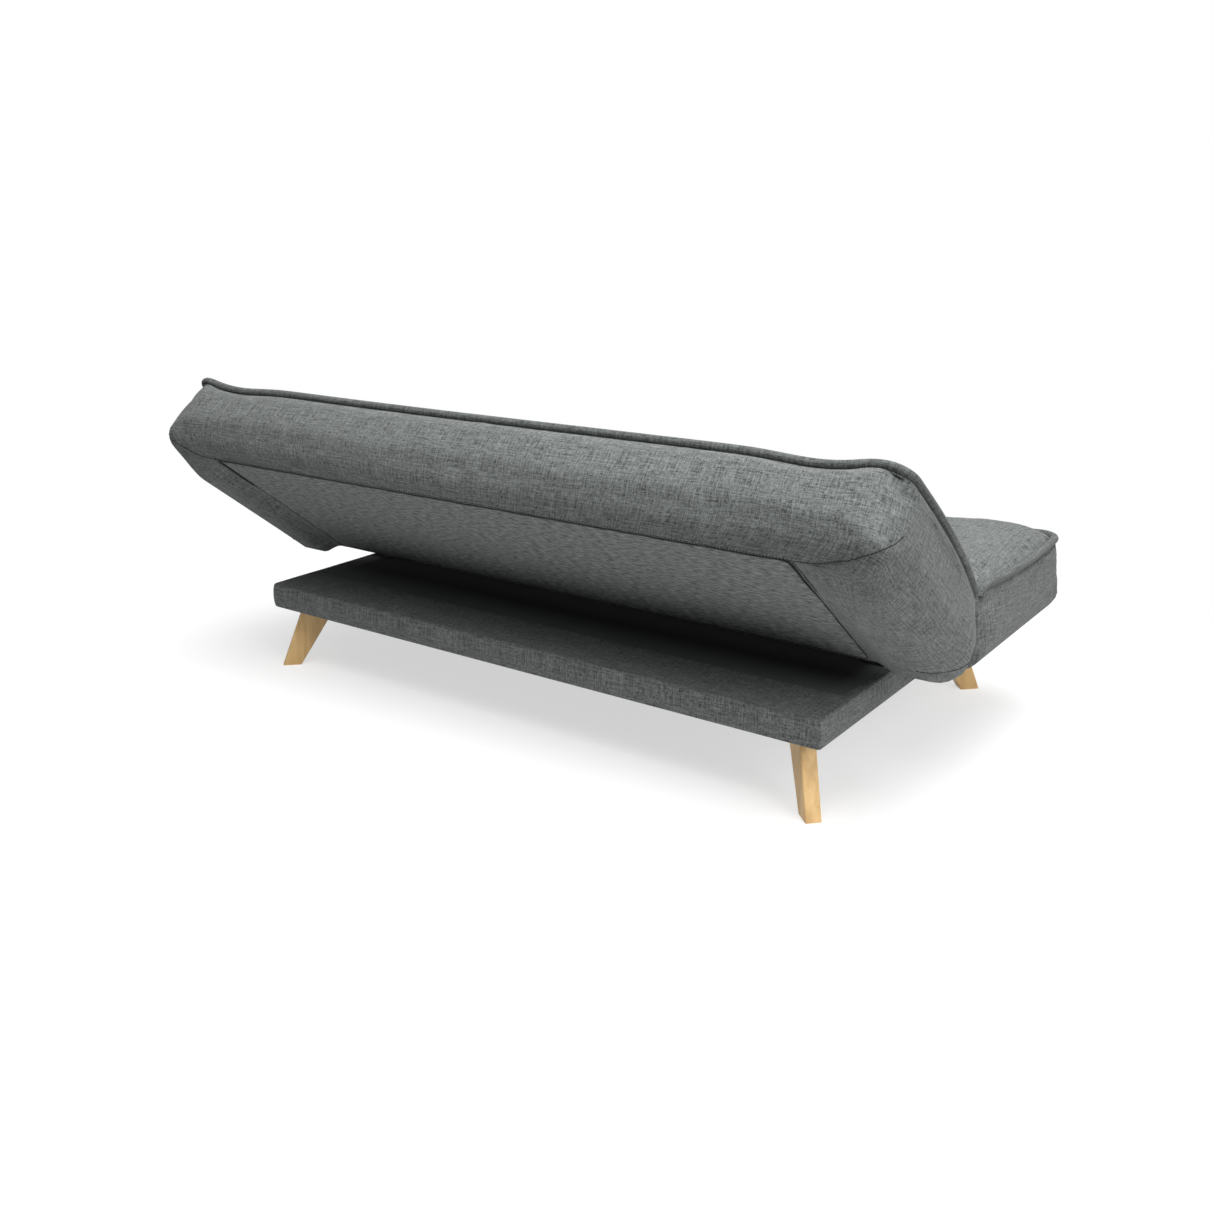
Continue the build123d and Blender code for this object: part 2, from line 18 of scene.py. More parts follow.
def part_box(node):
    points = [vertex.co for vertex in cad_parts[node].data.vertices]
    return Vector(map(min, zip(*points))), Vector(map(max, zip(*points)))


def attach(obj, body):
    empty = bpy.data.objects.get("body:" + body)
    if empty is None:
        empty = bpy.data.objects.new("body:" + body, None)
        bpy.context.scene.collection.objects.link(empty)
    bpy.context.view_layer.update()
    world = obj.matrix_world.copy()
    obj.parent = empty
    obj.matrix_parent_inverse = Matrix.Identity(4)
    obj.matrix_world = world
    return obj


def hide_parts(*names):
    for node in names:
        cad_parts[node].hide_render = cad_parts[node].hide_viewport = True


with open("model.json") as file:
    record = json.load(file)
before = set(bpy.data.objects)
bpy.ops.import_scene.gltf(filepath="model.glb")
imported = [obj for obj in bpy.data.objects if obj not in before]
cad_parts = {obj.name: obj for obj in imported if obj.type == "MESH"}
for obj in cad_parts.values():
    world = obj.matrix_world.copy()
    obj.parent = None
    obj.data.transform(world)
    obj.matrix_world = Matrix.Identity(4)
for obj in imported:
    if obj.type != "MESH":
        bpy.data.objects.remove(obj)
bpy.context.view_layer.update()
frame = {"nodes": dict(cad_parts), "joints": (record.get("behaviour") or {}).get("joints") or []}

bl_info = {
    "name": "Three-position sofa bed",
    "version": (1, 0, 0),
    "blender": (4, 5, 0),
    "location": "View3D > Sidebar > Sofa Bed",
    "description": "Builds the cloth, seams and finishes of a sofa bed round its solid model",
    "category": "Object",
}

# Facts of the solid model that the pieces follow
BACK_JOINT = next(joint for joint in frame["joints"] if joint["name"] == "back_recline")
HINGE = Vector(BACK_JOINT["pos_m"])
RECLINE = -math.radians(BACK_JOINT["range_deg"][0])
PANEL_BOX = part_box("seat_underside_panel")
COVER_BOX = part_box("seat_cover")
PIPE_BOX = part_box("seat_piping")
BASE_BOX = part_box("base_cover")
DUST_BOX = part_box("base_dust_cover")
PANEL_LEVEL = PANEL_BOX[0].z
HINGE_LEVEL = HINGE.z - PANEL_LEVEL
LEDGE_HALF = PIPE_BOX[1].x
LEDGE_OUTER = HINGE.y - PIPE_BOX[0].y
BASE_HALF = BASE_BOX[1].x
BASE_REAR = BASE_BOX[1].y - HINGE.y

# The covered piping is thicker than its solid and lies lower; the face starts beside it, a little higher
PIPE_FULLNESS = 1.35
PIPE_DROP = 0.0162
CROWN_DROP = 0.005
PIPE_RADIUS = PIPE_FULLNESS * (PIPE_BOX[1].z - PIPE_BOX[0].z) / 2
PIPE_INSET = 0.15 * PIPE_RADIUS
FACE_INSET = PIPE_INSET + 1.1 * PIPE_RADIUS
FACE_LIFT = 0.35 * PIPE_RADIUS
SEAM_LIFT = -0.5 * PIPE_RADIUS
LEDGE_LEVEL = PIPE_BOX[0].z - PANEL_LEVEL - PIPE_DROP
PANEL_CORNER = 0.01
TINY = 1e-9

# Mesh divisions: along the long sides, along the ends, and shares of half a corner's arc from its seam
LONG_STEPS = 224
SHORT_STEPS = 54
CORNER_STEPS = np.array([0.0, 0.06, 0.3, 0.53, 0.77, 1.0])
LONG_CELLS = LONG_STEPS + 2 * (len(CORNER_STEPS) - 1)
SHORT_CELLS = SHORT_STEPS + 2 * (len(CORNER_STEPS) - 1)
# Up a cover: shares from the panel's seam to the low edge, then steps of the low round, wall and hinge roll
UNDERSIDE_SHARES = (0.0, 0.03, 0.1, 0.2, 0.32, 0.45, 0.58, 0.7, 0.8, 0.9)
LOW_ROUND_STEPS = 6
WALL_STEPS = 12
ROLL_STEPS = 7

# Settings of the cloth simulation that swells the covers
CLOTH_SETTINGS = {
    "quality": 6, "mass": 0.3, "tension_stiffness": 12, "compression_stiffness": 12, "shear_stiffness": 6,
    "bending_stiffness": 0.6, "use_pressure": True, "vertex_group_mass": "held",
}


class CushionSizes(PropertyGroup):
    """Shape of one cushion; seat and back are alike."""

    end_bulge: FloatProperty(
        name="End bulge", description="How far the ends swell beyond the piping line",
        default=COVER_BOX[1].x - LEDGE_HALF, unit="LENGTH")
    outer_bulge: FloatProperty(
        name="Outer bulge", description="How far the outer side swells beyond the piping line",
        default=HINGE.y - COVER_BOX[0].y - LEDGE_OUTER, unit="LENGTH")
    crown: FloatProperty(
        name="Crown", description="Rise of the face above the piping line",
        default=COVER_BOX[1].z - PANEL_LEVEL - LEDGE_LEVEL - CROWN_DROP, unit="LENGTH")
    crown_end_run: FloatProperty(
        name="Crown run at ends", description="Distance over which the face rises from an end",
        default=0.11, unit="LENGTH")
    crown_cross_run: FloatProperty(
        name="Crown run across", description="Distance over which the face rises from the front or the hinge",
        default=0.14, unit="LENGTH")
    low_round: FloatProperty(
        name="Low round", description="Radius of the edge between boxing and underside",
        default=0.04, unit="LENGTH")
    corner_radius: FloatProperty(
        name="Corner radius", description="Radius of the upright outer corners", default=0.036, unit="LENGTH")
    hinge_corner_radius: FloatProperty(
        name="Hinge corner radius", description="Radius of the upright corners at the hinge",
        default=0.02, unit="LENGTH")
    end_low_round: FloatProperty(
        name="End low round", description="Radius of each end's slack lower edge",
        default=0.07, unit="LENGTH")
    seat_outer_round: FloatProperty(
        name="Seat outer round", description="Radius of the lower front corner of each end of the seat",
        default=0.15, unit="LENGTH")
    seat_hinge_round: FloatProperty(
        name="Seat hinge round", description="Radius of the lower hinge corner of each end of the seat",
        default=0.03, unit="LENGTH")
    back_outer_round: FloatProperty(
        name="Back outer round", description="Radius of the lower outer corner of each end of the back",
        default=0.05, unit="LENGTH")
    back_hinge_round: FloatProperty(
        name="Back hinge round", description="Radius of the slack lower hinge corner of each end of the back",
        default=0.026, unit="LENGTH")
    hinge_gap: FloatProperty(
        name="Hinge gap", description="Clearance of the cushion from the hinge line",
        default=0.003, unit="LENGTH")
    hinge_round: FloatProperty(
        name="Hinge round", description="Radius of the rolled edge at the hinge", default=0.03, unit="LENGTH")
    hinge_low_round: FloatProperty(
        name="Hinge low round", description="Radius of the lower edge at the hinge",
        default=0.015, unit="LENGTH")
    outer_drawn_in: FloatProperty(
        name="Outer side drawn in", description="How far the outer side pulls in between its corners",
        default=0.009, unit="LENGTH")
    end_bow: FloatProperty(
        name="End bow", description="How far the ends bow out between their corners",
        default=0.013, unit="LENGTH")
    seam_depth: FloatProperty(
        name="Seam depth", description="How deep the sewn seams lie in the cover",
        default=0.004, unit="LENGTH")
    outer_hang: FloatProperty(
        name="Hang at outer side", description="How far the back's ends sag past the panel at the outer side",
        default=0.003, unit="LENGTH")
    seat_end_lift: FloatProperty(
        name="Seat end lift", description="How far the seat's ends draw up from its panel",
        default=0.010, unit="LENGTH")
    seat_rise: FloatProperty(
        name="Seat rise", description="How much higher the seat's piping line stands than the back's",
        default=0.0095, unit="LENGTH")
    seat_crown_rise: FloatProperty(
        name="Seat crown rise", description="How much higher the seat's face is domed than the back's",
        default=0.006, unit="LENGTH")
    seat_dish: FloatProperty(
        name="Seat dish", description="How far the middle of the seat's face lies below its front roll",
        default=0.012, unit="LENGTH")
    face_puff: FloatProperty(
        name="Face puff", description="Share of the stuffing's swell that the top of the face keeps",
        default=0.5, subtype="FACTOR")
    hinge_rise: FloatProperty(
        name="Hinge rise", description="How much higher the faces stand along the hinge than at its ends",
        default=0.016, unit="LENGTH")
    seat_wave: FloatProperty(
        name="Seat wave", description="Share of the back's piping waves that the seat's piping has",
        default=0.25, subtype="FACTOR")
    end_seam_depth: FloatProperty(
        name="End seam depth", description="How deep the curved seams of the ends lie",
        default=0.003, unit="LENGTH")
    end_seam_width: FloatProperty(
        name="End seam width", description="Half width of the hollow along the ends' seams",
        default=0.008, unit="LENGTH")
    hinge_hang: FloatVectorProperty(
        name="Hang", description="How far the back's left and right ends sag past the panel",
        subtype="XYZ", unit="LENGTH", size=2, default=(0.018, 0.0265))
    bag_bulge: FloatProperty(
        name="Bag bulge", description="How far the back's slack lower hinge corners bulge outwards",
        default=0.014, unit="LENGTH")
    seat_give: FloatProperty(
        name="Seat give", description="Twice the hollow of the seat's ends at the hinge, for the back's bags",
        default=0.018, unit="LENGTH")
    stuffing_room: FloatProperty(
        name="Stuffing room", description="How much smaller the cover starts before the stuffing swells it",
        default=0.008, unit="LENGTH")
    ear_height: FloatProperty(
        name="Ear height", description="How far the piping rises at the outer corners",
        default=0.006, unit="LENGTH")
    dip_depth: FloatProperty(
        name="Dip depth", description="How far the piping dips beside each ear", default=0.008, unit="LENGTH")
    wave_height: FloatProperty(
        name="Wave height", description="Slow rise and fall of the piping between the ears",
        default=0.0018, unit="LENGTH")
    pressure: FloatProperty(
        name="Stuffing pressure", description="Pressure of the stuffing in the cloth simulation", default=4.0)
    slack: FloatProperty(
        name="Slack", description="Extra cloth as a share, which puckers along the seams",
        default=0.012, subtype="FACTOR")
    puff_limit: FloatProperty(
        name="Puff limit", description="Most that the stuffing may move the cloth",
        default=0.012, unit="LENGTH")
    puff_frames: IntProperty(
        name="Puff frames", description="Frames of the cloth simulation", default=16, min=2)


class TrimSizes(PropertyGroup):
    """Piping, stitches and staples."""

    pipe_radius: FloatProperty(
        name="Piping radius", description="Radius of the covered piping cord",
        default=PIPE_RADIUS, unit="LENGTH")
    pipe_step: FloatProperty(
        name="Piping step", description="Distance between rings of the piping", default=0.008, unit="LENGTH")
    stitch_length: FloatProperty(
        name="Stitch length", description="Length of one stitch", default=0.0042, unit="LENGTH")
    stitch_pitch: FloatProperty(
        name="Stitch pitch", description="Distance from stitch to stitch", default=0.0062, unit="LENGTH")
    stitch_thickness: FloatProperty(
        name="Stitch thickness", description="Thickness of the sewing thread", default=0.0024, unit="LENGTH")
    stitch_inset: FloatProperty(
        name="Stitch inset", description="Distance of the stitches from the panel seam",
        default=0.009, unit="LENGTH")
    # The dark cord along the panel seam is a painted shadow line; this is its thickness
    seam_shadow_thickness: FloatProperty(
        name="Seam thickness", description="Thickness of the thread in the panel seam",
        default=0.004, unit="LENGTH")
    staple_length: FloatProperty(
        name="Staple length", description="Width of one staple's back", default=0.011, unit="LENGTH")
    staple_pitch: FloatProperty(
        name="Staple pitch", description="Distance from staple to staple", default=0.045, unit="LENGTH")
    staple_thickness: FloatProperty(
        name="Staple thickness", description="Thickness of the staple wire", default=0.0012, unit="LENGTH")


class BaseSizes(PropertyGroup):
    """The padded base."""

    corner_radius: FloatProperty(
        name="Corner radius", description="Radius of the base's upright corners",
        default=0.006, unit="LENGTH")
    top_round: FloatProperty(
        name="Top round", description="Radius of the base's padded top edge", default=0.006, unit="LENGTH")
    low_round: FloatProperty(
        name="Low round", description="Radius of the base's lower edge", default=0.004, unit="LENGTH")
    side_puff: FloatProperty(
        name="Side puff", description="How far the sides swell out", default=0.0018, unit="LENGTH")
    ripple: FloatProperty(
        name="Ripple", description="Unevenness of the padded sides", default=0.0012, unit="LENGTH")
    # The deck's dark sheet is painted shade: where it lies, how far it pales at its edges, and how far it
    # sits below the top
    shade_sheet_insets: FloatVectorProperty(
        name="Lining insets", description="Distance of the deck's lining from the base's ends and long sides",
        subtype="XYZ", unit="LENGTH", size=2, default=(0.02, 0.135))
    shade_sheet_fade_runs: FloatVectorProperty(
        name="Lining pale runs", description="Distance over which the lining pales at ends and long sides",
        subtype="XYZ", unit="LENGTH", size=2, default=(0.05, 0.12))
    shade_sheet_depth: FloatProperty(
        name="Lining depth", description="How far the deck's lining lies below the base's top",
        default=0.0015, unit="LENGTH")


class Finishes(PropertyGroup):
    """Colours, as linear values."""

    linen_light: FloatVectorProperty(
        name="Linen light", description="Lightest yarn of the linen", subtype="COLOR",
        default=(0.225, 0.240, 0.236))
    linen_dark: FloatVectorProperty(
        name="Linen dark", description="Darkest yarn of the linen", subtype="COLOR",
        default=(0.026, 0.029, 0.028))
    felt_light: FloatVectorProperty(
        name="Felt light", description="Lightest fibre of the panels", subtype="COLOR",
        default=(0.240, 0.256, 0.251))
    felt_dark: FloatVectorProperty(
        name="Felt dark", description="Darkest fibre of the panels", subtype="COLOR",
        default=(0.062, 0.067, 0.066))
    # The piping's linen is the covers' linen darkened by this share, as painted shade
    piping_shade_tone: FloatProperty(
        name="Piping tone", description="Brightness of the piping's cloth against the covers'",
        default=0.79, subtype="FACTOR")
    # Near-black thread: sewing thread, and partly painted shade along the seams
    thread: FloatVectorProperty(
        name="Thread", description="Sewing thread", subtype="COLOR", default=(0.009, 0.010, 0.010))
    wood_light: FloatVectorProperty(
        name="Wood light", description="Early wood of the legs", subtype="COLOR",
        default=(0.880, 0.600, 0.270))
    wood_dark: FloatVectorProperty(
        name="Wood dark", description="Late wood and knots of the legs", subtype="COLOR",
        default=(0.430, 0.200, 0.060))
    timber_light: FloatVectorProperty(
        name="Timber light", description="Pale softwood inside the base", subtype="COLOR",
        default=(0.600, 0.430, 0.240))
    timber_dark: FloatVectorProperty(
        name="Timber dark", description="Grain of the softwood inside the base", subtype="COLOR",
        default=(0.400, 0.250, 0.110))
    # This black also colours the deck's sheet of painted shade
    dust_cloth: FloatVectorProperty(
        name="Dust cloth", description="Bonded cloth under the base", subtype="COLOR",
        default=(0.012, 0.012, 0.013))
    powder_coat: FloatVectorProperty(
        name="Powder coat", description="Coating of the tube frames", subtype="COLOR",
        default=(0.022, 0.022, 0.023))
    hinge_black: FloatVectorProperty(
        name="Hinge black", description="Blackened steel of the hinges", subtype="COLOR",
        default=(0.030, 0.030, 0.031))
    zinc: FloatVectorProperty(
        name="Zinc", description="Plating of the fasteners", subtype="COLOR", default=(0.560, 0.565, 0.580))


class StageSizes(PropertyGroup):
    """Camera, lamps and floor."""

    camera_place: FloatVectorProperty(
        name="Camera place", description="Where the camera stands", subtype="XYZ", unit="LENGTH",
        default=(-1.6408, 2.2831, 1.1016))
    camera_turn: FloatProperty(
        name="Camera turn", description="Turn of the camera about the vertical", subtype="ANGLE",
        default=math.radians(-144.513))
    camera_pitch: FloatProperty(
        name="Camera pitch", description="How far the camera looks down", subtype="ANGLE",
        default=math.radians(17.892))
    camera_lens: FloatProperty(
        name="Lens", description="Focal length for a 36 mm sensor, in millimetres",
        default=37.325, subtype="DISTANCE_CAMERA")
    overhead_power: FloatProperty(
        name="Overhead lamp", description="Power of the large lamp overhead", subtype="POWER", default=150.0)
    side_power: FloatProperty(
        name="Side lamp", description="Power of the lamp beside the camera", subtype="POWER", default=55.0)
    sky_strength: FloatProperty(
        name="Sky", description="Strength of the even light from all round", default=0.32)
    floor_whiteness: FloatProperty(
        name="Floor whiteness", description="Share of plain white in the floor near the sofa bed",
        default=0.62, min=0.0, max=1.0, subtype="FACTOR")
    floor_reach: FloatProperty(
        name="Floor reach", description="Radius beyond which the floor is plain white",
        default=1.9, unit="LENGTH")


# Shared helpers

def add(tree, kind, values=None, **settings):
    """A node in a tree, with its settings, and its inputs set to values or linked to other nodes' outputs."""
    made = tree.nodes.new(kind)
    for key, value in settings.items():
        setattr(made, key, value)
    for key, value in (values or {}).items():
        if isinstance(value, bpy.types.NodeSocket):
            tree.links.new(value, made.inputs[key])
        else:
            made.inputs[key].default_value = value
    return made


def show(name, mesh):
    """A new object at the origin for a finished mesh."""
    piece = bpy.data.objects.new(name, mesh)
    bpy.context.scene.collection.objects.link(piece)
    return piece


def settle(obj, name):
    """The object as its modifiers leave it, as a plain mesh in a new object; the old one goes."""
    graph = bpy.context.evaluated_depsgraph_get()
    mesh = bpy.data.meshes.new_from_object(obj.evaluated_get(graph))
    mesh.name = name
    old = obj.data
    bpy.data.objects.remove(obj)
    bpy.data.meshes.remove(old)
    return show(name, mesh)


def smoothstep(low, high, value):
    """0 up to low, 1 from high on, and a smooth rise between them; low may be the larger."""
    t = np.clip((value - low) / (high - low), 0.0, 1.0)
    return t * t * (3 - 2 * t)


def bell(value, width):
    """1 where the value is 0, fading to 0 over about two widths."""
    return np.exp(-(value / width) ** 2)


def quarter(steps):
    """Angles from 0 to 90 degrees in so many steps."""
    return [math.pi / 2 * i / steps for i in range(steps + 1)]


def body_matrix(body):
    """Where a cushion's own space lies: the seat points forwards and lies flat, the back is reclined."""
    if body == "seat":
        return Matrix.Translation((0, HINGE.y, PANEL_LEVEL)) @ Matrix.Rotation(math.pi, 4, "Z")
    lift = Matrix.Translation((0, 0, -HINGE_LEVEL))
    return Matrix.Translation((0, HINGE.y, HINGE.z)) @ Matrix.Rotation(RECLINE, 4, "X") @ lift


def panel_outline():
    """Half width, hinge edge and outer edge of the panel in a cushion's own space."""
    return PANEL_BOX[1].x, HINGE.y - PANEL_BOX[1].y, HINGE.y - PANEL_BOX[0].y


# Outlines: closed rings that start at the corner at -x on the hinge side and run along the hinge to +x first

def ring(half, hinge, outer, radius, level, hinge_radius=None):
    """A rounded rectangle, with as many points on every ring so that rings can be joined."""
    near = radius if hinge_radius is None else hinge_radius
    radii = (near, near, radius, radius)
    centres = np.array([
        (near - half, hinge + near), (half - near, hinge + near),
        (half - radius, outer - radius), (radius - half, outer - radius),
    ])
    middles = np.radians([225, 315, 45, 135])
    points = []
    for k, steps in enumerate((LONG_STEPS, SHORT_STEPS) * 2):
        after = (k + 1) % 4
        leave = middles[k] + CORNER_STEPS * math.pi / 4
        arrive = middles[after] - CORNER_STEPS[::-1] * math.pi / 4
        first = centres[k] + radii[k] * np.stack([np.cos(leave), np.sin(leave)], 1)
        last = centres[after] + radii[after] * np.stack([np.cos(arrive), np.sin(arrive)], 1)
        share = np.linspace(0, 1, steps + 1)[1:-1, None]
        points += [first, first[-1] + (last[0] - first[-1]) * share, last[:-1]]
    flat = np.concatenate(points)
    return np.column_stack([flat, np.full(len(flat), level)])


def patch(edge):
    """A grid that fills a ring, as an array [across][along] of points; its rim is the ring itself."""
    nx, ny = LONG_CELLS, SHORT_CELLS
    count = len(edge)
    hinge = edge[:nx + 1]
    right = edge[nx:nx + ny + 1]
    outer = edge[nx + ny:2 * nx + ny + 1][::-1]
    left = edge[(count - np.arange(ny + 1)) % count]
    s = ((hinge[:, 0] - hinge[0, 0]) / (hinge[-1, 0] - hinge[0, 0]))[None, :, None]
    v = ((left[:, 1] - left[0, 1]) / (left[-1, 1] - left[0, 1]))[:, None, None]
    sides = (1 - v) * hinge[None] + v * outer[None] + (1 - s) * left[:, None] + s * right[:, None]
    corners = ((1 - s) * (1 - v) * hinge[0] + s * (1 - v) * hinge[-1]
               + (1 - s) * v * outer[0] + s * v * outer[-1])
    return sides - corners


def patch_index(first_rim, first_inner):
    """Vertex numbers of a patch whose rim is a ring starting at first_rim, [across][along]."""
    nx, ny = LONG_CELLS, SHORT_CELLS
    count = 2 * (nx + ny)
    index = np.zeros((ny + 1, nx + 1), int)
    index[0] = first_rim + np.arange(nx + 1)
    index[:, nx] = first_rim + nx + np.arange(ny + 1)
    index[ny] = first_rim + 2 * nx + ny - np.arange(nx + 1)
    index[:, 0] = first_rim + (count - np.arange(ny + 1)) % count
    index[1:-1, 1:-1] = first_inner + np.arange((nx - 1) * (ny - 1)).reshape(ny - 1, nx - 1)
    return index


def skin(rings, cap, name):
    """A closed mesh: rings joined upwards, a grid on the last, flat strips under the first; UVs in metres."""
    rings = np.asarray(rings)
    levels, count = rings.shape[:2]
    inner = cap[1:-1, 1:-1].reshape(-1, 3)
    points = np.concatenate([rings.reshape(-1, 3), inner])
    index = patch_index((levels - 1) * count, levels * count)

    widest = rings[levels // 2]
    along = np.concatenate([[0], np.cumsum(np.linalg.norm(np.roll(widest, -1, 0) - widest, axis=1))])
    climbs = np.linalg.norm(np.diff(rings, axis=0), axis=2)
    up = -np.concatenate([np.cumsum(climbs[::-1], axis=0)[::-1], np.zeros((1, count))])
    r, i = (a.ravel() for a in np.meshgrid(np.arange(levels - 1), np.arange(count), indexing="ij"))
    j = (i + 1) % count
    walls = np.stack([r * count + i, r * count + j, (r + 1) * count + j, (r + 1) * count + i], 1)
    wall_uv = np.stack([
        np.stack([along[i], along[i + 1], along[i + 1], along[i]], 1),
        np.stack([up[r, i], up[r, j], up[r + 1, j], up[r + 1, i]], 1),
    ], 2)
    top = np.stack([index[:-1, :-1], index[:-1, 1:], index[1:, 1:], index[1:, :-1]], 2).reshape(-1, 4)
    nx, ny = LONG_CELLS, SHORT_CELLS
    near = np.arange(nx)
    far = 2 * nx + ny - near
    strips = np.stack([near, far, far - 1, near + 1], 1)
    left_end = (count - np.arange(ny + 1)) % count
    right_end = nx + ny - np.arange(ny + 1)
    floor = np.concatenate([strips.ravel(), left_end, right_end])
    faces = walls.tolist() + top.tolist() + strips.tolist() + [left_end.tolist(), right_end.tolist()]
    uv = np.concatenate([wall_uv.reshape(-1, 2), points[top.ravel(), :2], points[floor, :2]])

    mesh = bpy.data.meshes.new(name)
    mesh.from_pydata(points.tolist(), [], faces)
    mesh.uv_layers.new(name="Weave").data.foreach_set("uv", uv.astype(np.float32).ravel())
    mesh.shade_smooth()
    return mesh


def read_points(mesh):
    """A mesh's points as an array."""
    flat = np.empty(len(mesh.vertices) * 3, np.float32)
    mesh.vertices.foreach_get("co", flat)
    return flat.reshape(-1, 3).astype(float)


def write_points(mesh, points):
    """Moves a mesh's points to those of an array."""
    mesh.vertices.foreach_set("co", np.asarray(points, np.float32).ravel())
    mesh.update()


# Cushion shape

def piping_wave(points, size):
    """Rise of the piping along the outer side: ears at the corners, dips beside them, slow waves between."""
    ear_places, ear_width = (0.055, 0.03), 0.042
    dip_place, dip_width = 0.16, 0.088
    wave_length, side_width = 1.9, 0.06
    x = points[:, 0]
    from_end = LEDGE_HALF - np.abs(x)
    ear = size.ear_height * bell(from_end - np.where(x < 0, *ear_places), ear_width)
    dip = -size.dip_depth * bell(from_end - dip_place, dip_width)
    slow = -size.wave_height * np.sin(x * 2 * math.pi / wave_length)
    from_outer = np.clip(LEDGE_OUTER - points[:, 1], 0, None)
    return (ear + dip + slow) * bell(from_outer, side_width)


def edge_lift(points, body, size):
    """How far a body's piping line is lifted; the seat's stands higher and waves less."""
    wave = piping_wave(points, size)
    return size.seat_rise + size.seat_wave * wave if body == "seat" else wave


def face_level(points, size):
    """Height of the domed face above the piping line."""
    from_end = np.clip((LEDGE_HALF - np.abs(points[..., 0])) / size.crown_end_run, 0, 1)
    from_outer = np.clip((LEDGE_OUTER - points[..., 1]) / size.crown_cross_run, 0, 1)
    from_hinge = (points[..., 1] - size.hinge_gap - size.hinge_round) / size.crown_cross_run
    rise = (1 - (1 - from_end) ** 3) * (1 - (1 - from_outer) ** 3) * smoothstep(0, 1, from_hinge)
    return size.crown * rise


def draw_in(points, half, hinge, outer, share, size):
    """Pulls the outer side of a ring in, and bows its ends out, between their corners."""
    x, u = points[:, 0], points[:, 1]
    middle, reach = (hinge + outer) / 2, (outer - hinge) / 2
    outer_pull = (1 - (x / half) ** 2) * np.clip((u - middle) / reach, 0, 1) ** 4
    end_pull = (1 - ((u - middle) / reach) ** 2) * (np.abs(x) / half) ** 8
    points[:, 1] -= share * size.outer_drawn_in * outer_pull
    points[:, 0] += share * size.end_bow * end_pull * np.sign(x)


def cover_rings(size):
    """Rings of a cover from the panel's seam, round the low edge, up the boxing, to the face's edge."""
    top = LEDGE_LEVEL
    low_share, roll_fade = 0.2, 0.03
    rings = []

    def boxing(level, low_in, hinge, share):
        """One ring of the swelling boxing."""
        swell = math.cos(math.pi / 2 * level / top)
        half = LEDGE_HALF + (size.end_bulge - size.stuffing_room) * swell - low_in
        outer = LEDGE_OUTER + (size.outer_bulge - size.stuffing_room) * swell - low_in
        made = ring(half, hinge, outer, size.corner_radius, level, size.hinge_corner_radius)
        draw_in(made, half, hinge, outer, share, size)
        return made

    low_edge = boxing(0, size.low_round, size.hinge_gap + size.hinge_low_round, low_share)
    seam = ring(*panel_outline(), PANEL_CORNER, 0)
    for share in UNDERSIDE_SHARES:
        rings.append(seam + share * (low_edge - seam))
    rings[0][:, 2] += size.seam_depth
    for angle in quarter(LOW_ROUND_STEPS):
        short = 1 - math.sin(angle)
        level = size.low_round * (1 - math.cos(angle))
        hinge = size.hinge_gap + size.hinge_low_round * short
        rings.append(boxing(level, size.low_round * short, hinge, low_share))
    roll_start = top - size.hinge_round
    for level in np.linspace(size.low_round, roll_start, WALL_STEPS + 1)[1:-1]:
        rings.append(boxing(level, 0, size.hinge_gap, low_share))
    for angle in quarter(ROLL_STEPS):
        level = roll_start + size.hinge_round * math.sin(angle)
        hinge = size.hinge_gap + size.hinge_round * (1 - math.cos(angle))
        rings.append(boxing(level, 0, hinge, low_share + (1 - low_share) * math.sin(angle)))
    for inset, lift in ((PIPE_INSET, SEAM_LIFT), (FACE_INSET, FACE_LIFT)):
        half, outer = LEDGE_HALF - inset, LEDGE_OUTER - inset
        hinge = size.hinge_gap + size.hinge_round + inset
        made = ring(half, hinge, outer, size.corner_radius - inset, top, 0.5 * size.hinge_corner_radius)
        draw_in(made, half, hinge, outer, 1, size)
        made[:, 2] += lift * smoothstep(0, roll_fade, made[:, 1] - hinge)
        rings.append(made)
    return np.array(rings)


def slacken_ends(points, hangs, rounds, bulge, size):
    """Lets each end sag past the panel beyond the base, and rounds the end's lower edge and corners."""
    sag_start, sag_full, sag_height = BASE_HALF + 0.003, BASE_HALF + 0.05, 0.13
    corner_start, corner_full = BASE_HALF - 0.005, BASE_HALF + 0.13
    outer_run, bag_level, bag_start, bag_full = 0.12, 0.06, 0.14, 0.02
    x, u = np.abs(points[:, 0]), points[:, 1]
    beyond = smoothstep(sag_start, sag_full, x)
    along = np.where(points[:, 0] < 0, hangs[0], hangs[1])
    hang = along + (hangs[2] - along) * smoothstep(LEDGE_OUTER - outer_run, LEDGE_OUTER, u)
    points[:, 2] -= beyond * hang * smoothstep(sag_height, 0.0, points[:, 2])
    end = LEDGE_HALF + size.end_bulge
    outer = LEDGE_OUTER + size.outer_bulge
    out = np.sign(points[:, 0])
    for axis, inwards, radius, free in (
        (0, end - x, size.end_low_round, beyond),
        (1, u - size.hinge_gap, rounds[0], beyond),
        (1, outer - u, rounds[1], smoothstep(corner_start, corner_full, x)),
    ):
        past = radius - inwards
        below = radius - hang - points[:, 2]
        reach = np.hypot(past, below)
        cut = (past > 0) & (below > 0) & (reach > radius)
        pull = np.where(cut, free * (1 - radius / np.maximum(reach, TINY)), 0)
        way = -out if axis == 0 else np.where(u < 0.5 * outer, 1, -1)
        points[:, axis] += pull * past * way
        points[:, 2] += pull * below
    low = bell(points[:, 2] - bag_level, bag_level) * smoothstep(bag_start, bag_full, u)
    points[:, 0] += np.clip(bulge, 0, None) * beyond * low * out
    points[:, 1] -= 0.5 * bulge * beyond * low


